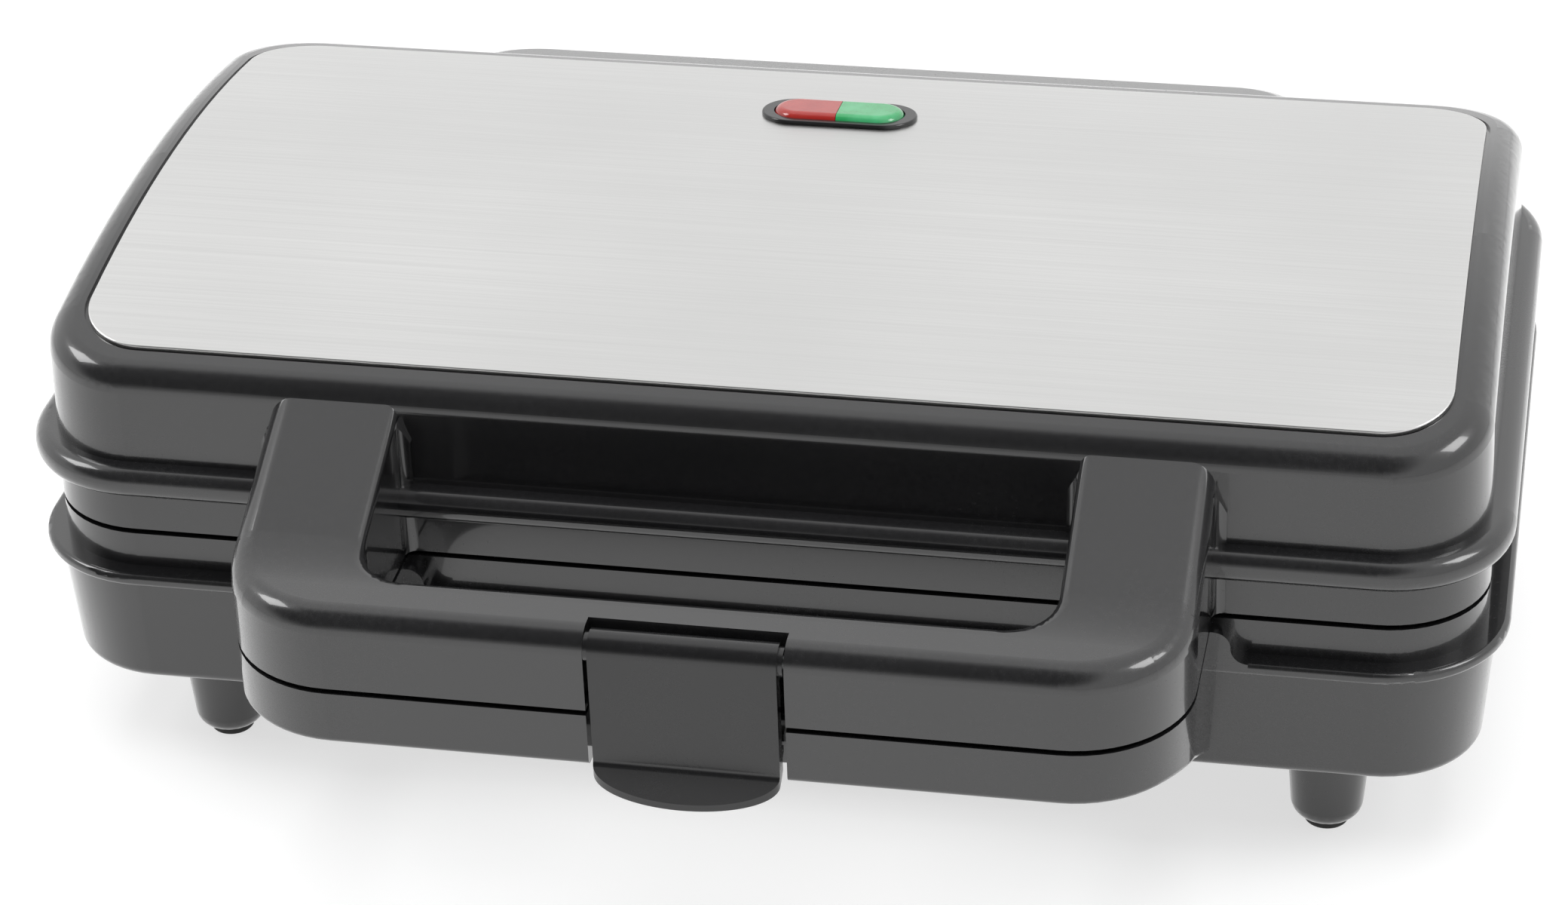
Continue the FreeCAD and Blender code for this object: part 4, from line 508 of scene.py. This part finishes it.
@dataclass
class Fasteners:
    """Screws or rivets of one CAD node, remade with crowned heads and a driver recess.

    Their places and sizes are measured on the node.

    Attributes:
        node: CAD node that is measured and replaced.
        body: Body that the fasteners ride on.
        finish: Their finish.
        recess: Driver recess in each head.
        sides: Sides of the round parts.
        rim_share: Height of the head's upright rim, of the head's height.
        shoulder_share: Width halfway up the crown, of the rim's.
        crown_share: Width of the crown's flat top, of the shoulder's.
        tip_length: Length of the tapered tip, of the shank's.
        tip_share: Width of the tip's end, of the shank's.
        cross_length: Length of a cross's bars, of the head's diameter.
        slot_length: Length of a slot's bar, of the head's diameter, so that it runs out on both sides.
        bar_width: Width of a bar, of the head's diameter.
        bar_depth: Depth of the recess, of the head's height.
        merge: Distance in metres within which vertices are one.
        rim_band: Share of the largest radius beyond which a vertex lies on the head.
        tip_band: Share of the shank's length, from its tip, in which its width is measured.
    """

    node: str
    body: str
    finish: Finish
    recess: Recess
    sides: int = 24
    rim_share: float = 0.6
    shoulder_share: float = 0.93
    crown_share: float = 0.7
    tip_length: float = 0.12
    tip_share: float = 0.7
    cross_length: float = 0.6
    slot_length: float = 1.1
    bar_width: float = 0.16
    bar_depth: float = 0.5
    merge: float = 1e-6
    rim_band: float = 0.95
    tip_band: float = 0.25

    def islands(self) -> list[np.ndarray]:
        """Part the node's mesh into its separate solids.

        Returns:
            The vertices of each solid, one row each.
        """
        mesh = bmesh.new()
        mesh.from_mesh(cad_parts[self.node].data)
        bmesh.ops.remove_doubles(mesh, verts=mesh.verts, dist=self.merge)
        found = []
        seen = set()
        for first in mesh.verts:
            if first in seen:
                continue
            seen.add(first)
            queue = [first]
            for vert in queue:
                for edge in vert.link_edges:
                    other = edge.other_vert(vert)
                    if other not in seen:
                        seen.add(other)
                        queue.append(other)
            found.append(np.array([vert.co for vert in queue]))
        mesh.free()
        return found

    def measure(self, solid: np.ndarray) -> Measured:
        """Measure one upright fastener.

        Args:
            solid: Its vertices.

        Returns:
            Its place and sizes, the sizes by the names of the tree's inputs.
        """
        low, high = solid.min(0), solid.max(0)
        middle = (low + high) / 2
        radii = np.hypot(*(solid[:, :2] - middle[:2]).T)
        head = solid[radii > self.rim_band * radii.max(), 2]
        up = head.mean() > middle[2]
        seat = head.min() if up else head.max()
        top, tip = (high[2], low[2]) if up else (low[2], high[2])
        near_tip = np.abs(solid[:, 2] - tip) < self.tip_band * abs(tip - seat)
        sizes = {
            "Head Diameter": float(2 * radii.max()),
            "Head Height": float(abs(top - seat)),
            "Shank Diameter": float(2 * radii[near_tip].max()),
            "Shank Length": float(abs(tip - seat)),
        }
        return Measured((middle[0], middle[1], seat), (0.0, 0.0, 1.0 if up else -1.0), sizes)

    def one_fastener(
        self, tree: bpy.types.NodeTree, given: bpy.types.NodeOutputs
    ) -> bpy.types.NodeSocket:
        """Shape one fastener with its seat at the origin and its head upwards.

        Args:
            tree: Geometry tree.
            given: Outputs of the tree's input node.

        Returns:
            Mesh of the fastener.
        """
        bar_length = self.cross_length if self.recess is Recess.CROSS else self.slot_length
        shares = {
            "radius": ("Head Diameter", 0.5),
            "rim": ("Head Height", self.rim_share),
            "half rim": ("Head Height", self.rim_share / 2),
            "crown step": ("Head Height", (1 - self.rim_share) / 2),
            "straight": ("Shank Length", 1 - self.tip_length),
            "tip": ("Shank Length", self.tip_length),
            "bar length": ("Head Diameter", bar_length),
            "bar width": ("Head Diameter", self.bar_width),
            "bar height": ("Head Height", 2 * self.bar_depth),
        }
        sizes = {}
        for name, (whole, share) in shares.items():
            part = add_node(tree, "ShaderNodeMath", {0: given[whole], 1: share}, operation="MULTIPLY")
            sizes[name] = part.outputs[0]
        neck = add_node(tree, "ShaderNodeMath", {
            0: given["Shank Diameter"], 1: given["Head Diameter"],
        }, operation="DIVIDE")
        rim = add_node(tree, "GeometryNodeMeshCylinder", {
            "Vertices": self.sides, "Radius": sizes["radius"], "Depth": sizes["rim"],
        }).outputs
        shape = rim["Mesh"]
        ends = {"Top": rim["Top"], "Bottom": rim["Bottom"]}
        # Each step draws one end of the shape out by a length, then scales that end's width.
        steps = (
            ("Top", sizes["crown step"], self.shoulder_share),
            ("Top", sizes["crown step"], self.crown_share),
            ("Bottom", 0.0, neck.outputs[0]),
            ("Bottom", sizes["straight"], 1.0),
            ("Bottom", sizes["tip"], self.tip_share),
        )
        for end, length, width in steps:
            drawn = add_node(tree, "GeometryNodeExtrudeMesh", {
                "Mesh": shape, "Selection": ends[end], "Offset Scale": length, "Individual": False,
            }).outputs
            ends[end] = drawn["Top"]
            shape = add_node(tree, "GeometryNodeScaleElements", {
                "Geometry": drawn["Mesh"], "Selection": drawn["Top"], "Scale": width,
            }).outputs["Geometry"]
        lift = add_node(tree, "ShaderNodeCombineXYZ", {"Z": sizes["half rim"]})
        shape = add_node(tree, "GeometryNodeTransform", {
            "Geometry": shape, "Translation": lift.outputs[0],
        }).outputs[0]
        if self.recess is Recess.NONE:
            return shape
        size = add_node(tree, "ShaderNodeCombineXYZ", {
            "X": sizes["bar length"], "Y": sizes["bar width"], "Z": sizes["bar height"],
        })
        bar = add_node(tree, "GeometryNodeMeshCube", {"Size": size.outputs[0]})
        top = add_node(tree, "ShaderNodeCombineXYZ", {"Z": given["Head Height"]})
        for quarter in range(self.recess.value):
            cutter = add_node(tree, "GeometryNodeTransform", {
                "Geometry": bar.outputs[0],
                "Translation": top.outputs[0],
                "Rotation": (0.0, 0.0, quarter * math.pi / 2),
            })
            shape = add_node(tree, "GeometryNodeMeshBoolean", {
                "Mesh 1": shape, "Mesh 2": cutter.outputs[0],
            }, operation="DIFFERENCE").outputs[0]
        return shape

    def tree(self) -> bpy.types.NodeTree:
        """Make the tree that turns seat points into fasteners.

        Returns:
            Geometry tree with named inputs.
        """
        tree = bpy.data.node_groups.new(f"{self.node}_tree", "GeometryNodeTree")
        tree.interface.new_socket("Seats", in_out="INPUT", socket_type="NodeSocketGeometry")
        for name in ("Head Diameter", "Head Height", "Shank Diameter", "Shank Length"):
            tree.interface.new_socket(name, in_out="INPUT", socket_type="NodeSocketFloat")
        tree.interface.new_socket("Finish", in_out="INPUT", socket_type="NodeSocketMaterial")
        tree.interface.new_socket("Fasteners", in_out="OUTPUT", socket_type="NodeSocketGeometry")
        given = add_node(tree, "NodeGroupInput").outputs
        shape = self.one_fastener(tree, given)
        facing = add_node(tree, "GeometryNodeInputNamedAttribute", {
            "Name": "facing",
        }, data_type="FLOAT_VECTOR")
        turned = add_node(tree, "FunctionNodeAlignRotationToVector", {
            "Vector": facing.outputs[0],
        }, axis="Z")
        copies = add_node(tree, "GeometryNodeInstanceOnPoints", {
            "Points": given["Seats"], "Instance": shape, "Rotation": turned.outputs[0],
        })
        real = add_node(tree, "GeometryNodeRealizeInstances", {"Geometry": copies.outputs[0]})
        dressed = add_node(tree, "GeometryNodeSetMaterial", {
            "Geometry": real.outputs[0], "Material": given["Finish"],
        })
        add_node(tree, "NodeGroupOutput", {"Fasteners": dressed.outputs[0]})
        return tree

    def build(self) -> None:
        """Make the fasteners as one plain mesh that stands for the node."""
        found = [self.measure(solid) for solid in self.islands()]
        seats = bpy.data.meshes.new(f"{self.node}_seats")
        seats.from_pydata([fastener.seat for fastener in found], [], [])
        facing = seats.attributes.new("facing", "FLOAT_VECTOR", "POINT")
        facing.data.foreach_set("vector", [value for fastener in found for value in fastener.facing])
        points = bpy.data.objects.new(f"{self.node}_points", seats)
        bpy.context.collection.objects.link(points)
        maker = points.modifiers.new("maker", "NODES")
        maker.node_group = self.tree()
        sockets = maker.node_group.interface.items_tree
        named = {item.name: item.identifier for item in sockets if item.in_out == "INPUT"}
        # The fasteners of one node are alike, so the first one gives the sizes of all.
        for name, value in found[0].sizes.items():
            maker[named[name]] = value
        maker[named["Finish"]] = self.finish.material()
        graph = bpy.context.evaluated_depsgraph_get()
        mesh = bpy.data.meshes.new_from_object(points.evaluated_get(graph), depsgraph=graph)
        bpy.data.objects.remove(points)
        piece = bpy.data.objects.new(f"{self.node}_headed", mesh)
        bpy.context.collection.objects.link(piece)
        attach(piece, self.body)
        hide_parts(self.node)
        LOG.info("%s: %d pieces, %d faces", piece.name, len(found), len(mesh.polygons))


@dataclass(frozen=True)
class SoftBox:
    """A square lamp that faces the object. Lengths are in metres.

    Attributes:
        name: Name of the lamp.
        place: Middle of the box.
        side: Length of its sides.
        watts: Its power.
        mirrored: Whether gloss shows it.
    """

    name: str
    place: tuple[float, float, float]
    side: float
    watts: float
    mirrored: bool

    def build(self) -> None:
        """Hang the lamp in its place."""
        data = bpy.data.lights.new(self.name, "AREA")
        data.size = self.side
        data.energy = self.watts
        lamp = bpy.data.objects.new(self.name, data)
        bpy.context.collection.objects.link(lamp)
        lamp.location = self.place
        lamp.visible_glossy = self.mirrored
        lamp.rotation_euler = (-Vector(self.place)).to_track_quat("-Z", "Y").to_euler()


@dataclass
class Studio:
    """Floor, lamps, world and camera. Lengths are in metres and angles in degrees.

    Attributes:
        azimuth: Where the camera stands, turned from the front towards the right.
        elevation: How far it looks down.
        roll: How far it is turned about its line of sight.
        eye: Its place.
        focal_pixels: Its focal length, in pixels of the picture.
        image_width: Width of the picture, in pixels.
        sensor_width: Width of its sensor, in millimetres.
        clip_start: Nearest distance that it shows.
        floor_half: Half of the floor's width.
        floor_colour: Colour of the floor's paint.
        floor_lift: How much the floor is lifted towards white where it is seen.
        wall_colour: Colour of the backdrop.
        sky_light: Strength of the even light from all around.
        dark_side: Way to the middle of the unlit part of the room, which gloss shows.
        dark_inner: Angle from there within which it is darkest.
        dark_outer: Angle from there at which it has faded out.
        dark_depth: How dark it is, from 0 for white to 1 for black.
        lamps: The soft boxes.
    """

    azimuth: float = 12.058
    elevation: float = 30.998
    roll: float = -2.146
    eye: tuple[float, float, float] = (0.13744, -0.654865, 0.44678)
    focal_pixels: float = 5736.2
    image_width: float = 2080.0
    sensor_width: float = 36.0
    clip_start: float = 0.01
    floor_half: float = 6.0
    floor_colour: str = "#aeaeae"
    floor_lift: float = 0.66
    wall_colour: str = "#ffffff"
    sky_light: float = 0.34
    dark_side: tuple[float, float, float] = (-0.34, -0.65, 0.68)
    dark_inner: float = 24.0
    dark_outer: float = 52.0
    dark_depth: float = 0.9
    lamps: tuple[SoftBox, ...] = (
        SoftBox("top_box", place=(0.0, -0.2, 1.3), side=1.2, watts=15.0, mirrored=False),
        SoftBox("back_box", place=(0.0, 0.95, 1.1), side=0.8, watts=5.0, mirrored=False),
        SoftBox("left_box", place=(-0.95, -0.05, 0.95), side=0.45, watts=4.0, mirrored=True),
        SoftBox("right_box", place=(0.95, -0.05, 0.95), side=0.45, watts=4.0, mirrored=True),
    )

    def build_camera(self) -> None:
        """Set the camera where the photograph was taken from."""
        turn, tilt, roll = (math.radians(angle) for angle in (self.azimuth, self.elevation, self.roll))
        look = Vector((-math.sin(turn) * math.cos(tilt), math.cos(turn) * math.cos(tilt), -math.sin(tilt)))
        level = Vector((math.cos(turn), math.sin(turn), 0))
        upright = level.cross(look)
        right = level * math.cos(roll) + upright * math.sin(roll)
        up = upright * math.cos(roll) - level * math.sin(roll)
        data = bpy.data.cameras.new("camera")
        data.sensor_fit = "HORIZONTAL"
        data.sensor_width = self.sensor_width
        data.lens = self.sensor_width * self.focal_pixels / self.image_width
        data.clip_start = self.clip_start
        camera = bpy.data.objects.new("camera", data)
        bpy.context.collection.objects.link(camera)
        facing = Matrix((right, up, -look)).transposed().to_4x4()
        camera.matrix_world = Matrix.Translation(self.eye) @ facing
        bpy.context.scene.camera = camera

    def seen_directly(self, tree: bpy.types.NodeTree) -> bpy.types.NodeSocket:
        """Tell rays from the camera, mirrors and glass from those that only carry light.

        Args:
            tree: Tree that asks.

        Returns:
            1 for camera, glossy and transmission rays, otherwise 0.
        """
        path = add_node(tree, "ShaderNodeLightPath").outputs
        seen = path["Is Camera Ray"]
        for other in ("Is Glossy Ray", "Is Transmission Ray"):
            either = add_node(tree, "ShaderNodeMath", {0: seen, 1: path[other]}, operation="MAXIMUM")
            seen = either.outputs[0]
        return seen

    def build_world(self) -> None:
        """Light the scene evenly, show a white backdrop, and give gloss a dark side to mirror."""
        world = bpy.data.worlds.new("studio")
        bpy.context.scene.world = world
        world.use_nodes = True
        tree = world.node_tree
        tree.nodes.clear()
        way = add_node(tree, "ShaderNodeTexCoord").outputs["Generated"]
        side = Vector(self.dark_side).normalized()
        toward = add_node(tree, "ShaderNodeVectorMath", {0: way, 1: side}, operation="DOT_PRODUCT")
        room = add_node(tree, "ShaderNodeMapRange", {
            "Value": toward.outputs["Value"],
            "From Min": math.cos(math.radians(self.dark_outer)),
            "From Max": math.cos(math.radians(self.dark_inner)),
            "To Min": 1.0,
            "To Max": 1 - self.dark_depth,
        }, interpolation_type="SMOOTHSTEP")
        mirrored = add_node(tree, "ShaderNodeLightPath").outputs["Is Glossy Ray"]
        wall = add_node(tree, "ShaderNodeMix", {"Factor": mirrored, "A": 1.0, "B": room.outputs[0]})
        colour = linear(self.wall_colour)
        light = add_node(tree, "ShaderNodeBackground", {"Color": colour, "Strength": self.sky_light})
        white = add_node(tree, "ShaderNodeBackground", {"Color": colour, "Strength": wall.outputs[0]})
        both = add_node(tree, "ShaderNodeMixShader", {
            0: self.seen_directly(tree), 1: light.outputs[0], 2: white.outputs[0],
        })
        add_node(tree, "ShaderNodeOutputWorld", {"Surface": both.outputs[0]})

    def build_floor(self) -> None:
        """Lay a pale floor that keeps the object's shadow."""
        half = self.floor_half
        corners = [(-half, -half, 0), (half, -half, 0), (half, half, 0), (-half, half, 0)]
        mesh = bpy.data.meshes.new("floor")
        mesh.from_pydata(corners, [], [(0, 1, 2, 3)])
        floor = bpy.data.objects.new("floor", mesh)
        bpy.context.collection.objects.link(floor)
        # Matt paint, lifted to white where light falls on it freely, so that only the shadow shows.
        paint = bpy.data.materials.new("floor_paint_matte")
        paint.use_nodes = True
        tree = paint.node_tree
        tree.nodes.clear()
        matte = add_node(tree, "ShaderNodeBsdfDiffuse", {"Color": linear(self.floor_colour)})
        lift = add_node(tree, "ShaderNodeMath", {
            0: self.seen_directly(tree), 1: self.floor_lift,
        }, operation="MULTIPLY")
        glow = add_node(tree, "ShaderNodeEmission", {"Strength": lift.outputs[0]})
        both = add_node(tree, "ShaderNodeAddShader", {0: matte.outputs[0], 1: glow.outputs[0]})
        add_node(tree, "ShaderNodeOutputMaterial", {"Surface": both.outputs[0]})
        mesh.materials.append(paint)

    def build(self) -> None:
        """Make the whole studio."""
        bpy.context.scene.view_settings.view_transform = "Standard"
        self.build_camera()
        self.build_world()
        self.build_floor()
        for lamp in self.lamps:
            lamp.build()
        LOG.info("studio: camera, white world, floor and %d soft boxes", len(self.lamps))


@dataclass
class Casing:
    """The two casing mouldings with the handle halves, the feet and the hinge pins."""

    shells: tuple[str, ...] = ("lid_shell", "base_shell")
    feet: str = "foot_pads"
    pins: str = "hinge_pins"

    def dress(self) -> None:
        """Give the mouldings, the feet and the pins their finishes."""
        dress(CASING_ABS, *self.shells)
        dress(RUBBER, self.feet)
        dress(ZINC_PLATE, self.pins)


@dataclass
class Latch:
    """The latch clip that swings on its pin in the handle."""

    clip: str = "latch_clip"
    pin: str = "latch_pin"

    def dress(self) -> None:
        """Give the clip and its pin their finishes."""
        dress(LATCH_ACETAL, self.clip)
        dress(ZINC_PLATE, self.pin)


@dataclass
class TopPanel:
    """The steel panel with the two indicator lights and their board."""

    panel: str = "top_panel"
    bezel: str = "indicator_bezel"
    power: str = "power_lens"
    ready: str = "ready_lens"
    lamps: str = "indicator_lamps"
    board: str = "lamp_board"
    board_screws: str = "lamp_board_screws"

    def dress(self) -> None:
        """Give the panel, the lenses and the lamp board their finishes."""
        dress(PANEL_STEEL, self.panel)
        dress(BEZEL_PC, self.bezel)
        dress(RED_LENS, self.power)
        dress(GREEN_LENS, self.ready)
        dress(LAMP_GLASS, self.lamps)
        dress(BOARD_LAMINATE, self.board)
        dress(ZINC_PLATE, self.board_screws)


@dataclass
class MouldPlates:
    """The two ring-mould plates, each with its heater, clips, rivets, heat shield and screws."""

    halves: tuple[tuple[str, str], ...] = (("upper", "lid"), ("lower", "base"))

    def build(self) -> None:
        """Make the screws and rivets behind each plate."""
        for half, body in self.halves:
            Fasteners(f"{half}_plate_screws", body, ZINC_PLATE, Recess.CROSS).build()
            Fasteners(f"{half}_clip_rivets", body, ZINC_PLATE, Recess.NONE).build()

    def dress(self) -> None:
        """Give the plates, heaters, clips and shields their finishes."""
        for half, _ in self.halves:
            dress(NONSTICK_COAT, f"{half}_plate")
            dress(HEATER_TUBE, f"{half}_heater")
            dress(SHIELD_SHEET, f"{half}_heater_clips", f"{half}_heat_shield")


@dataclass
class Controls:
    """Thermostat, fuse, wires, terminals and the cord inlet, with their fasteners."""

    fasteners: tuple[Fasteners, ...] = (
        Fasteners("thermostat_screws", "lid", ZINC_PLATE, Recess.CROSS),
        Fasteners("fuse_rivets", "lid", ZINC_PLATE, Recess.NONE),
        Fasteners("cord_clamp_screws", "base", ZINC_PLATE, Recess.CROSS),
        Fasteners("earth_screw", "base", ZINC_PLATE, Recess.SLOT),
    )
    thermostat: str = "thermostat"
    fuse: str = "thermal_fuse"
    fuse_clip: str = "fuse_clip"
    wires: tuple[str, ...] = ("lid_wires", "base_wires")
    grommet: str = "harness_grommet"
    cord_holders: tuple[str, ...] = ("cord_inlet", "cord_clamp")
    terminals: str = "terminal_block"
    contacts: tuple[str, ...] = ("earth_tag", "terminal_screws")

    def build(self) -> None:
        """Make the screws and rivets of the electrical parts."""
        for group in self.fasteners:
            group.build()

    def dress(self) -> None:
        """Give the electrical parts their finishes."""
        dress(PHENOLIC, self.thermostat)
        dress(FUSE_CASE, self.fuse)
        dress(SHIELD_SHEET, self.fuse_clip)
        dress(WIRE_SLEEVE, *self.wires)
        dress(RUBBER, self.grommet)
        dress(BLACK_NYLON, *self.cord_holders)
        dress(PALE_NYLON, self.terminals)
        dress(BRASS, *self.contacts)


def main() -> None:
    """Build the studio, then each sub-assembly."""
    logging.basicConfig(level=logging.INFO, format="%(name)s %(message)s")
    Studio().build()
    plates = MouldPlates()
    controls = Controls()
    plates.build()
    controls.build()
    for part in (Casing(), Latch(), TopPanel(), plates, controls):
        part.dress()


if __name__ == "__main__":
    main()
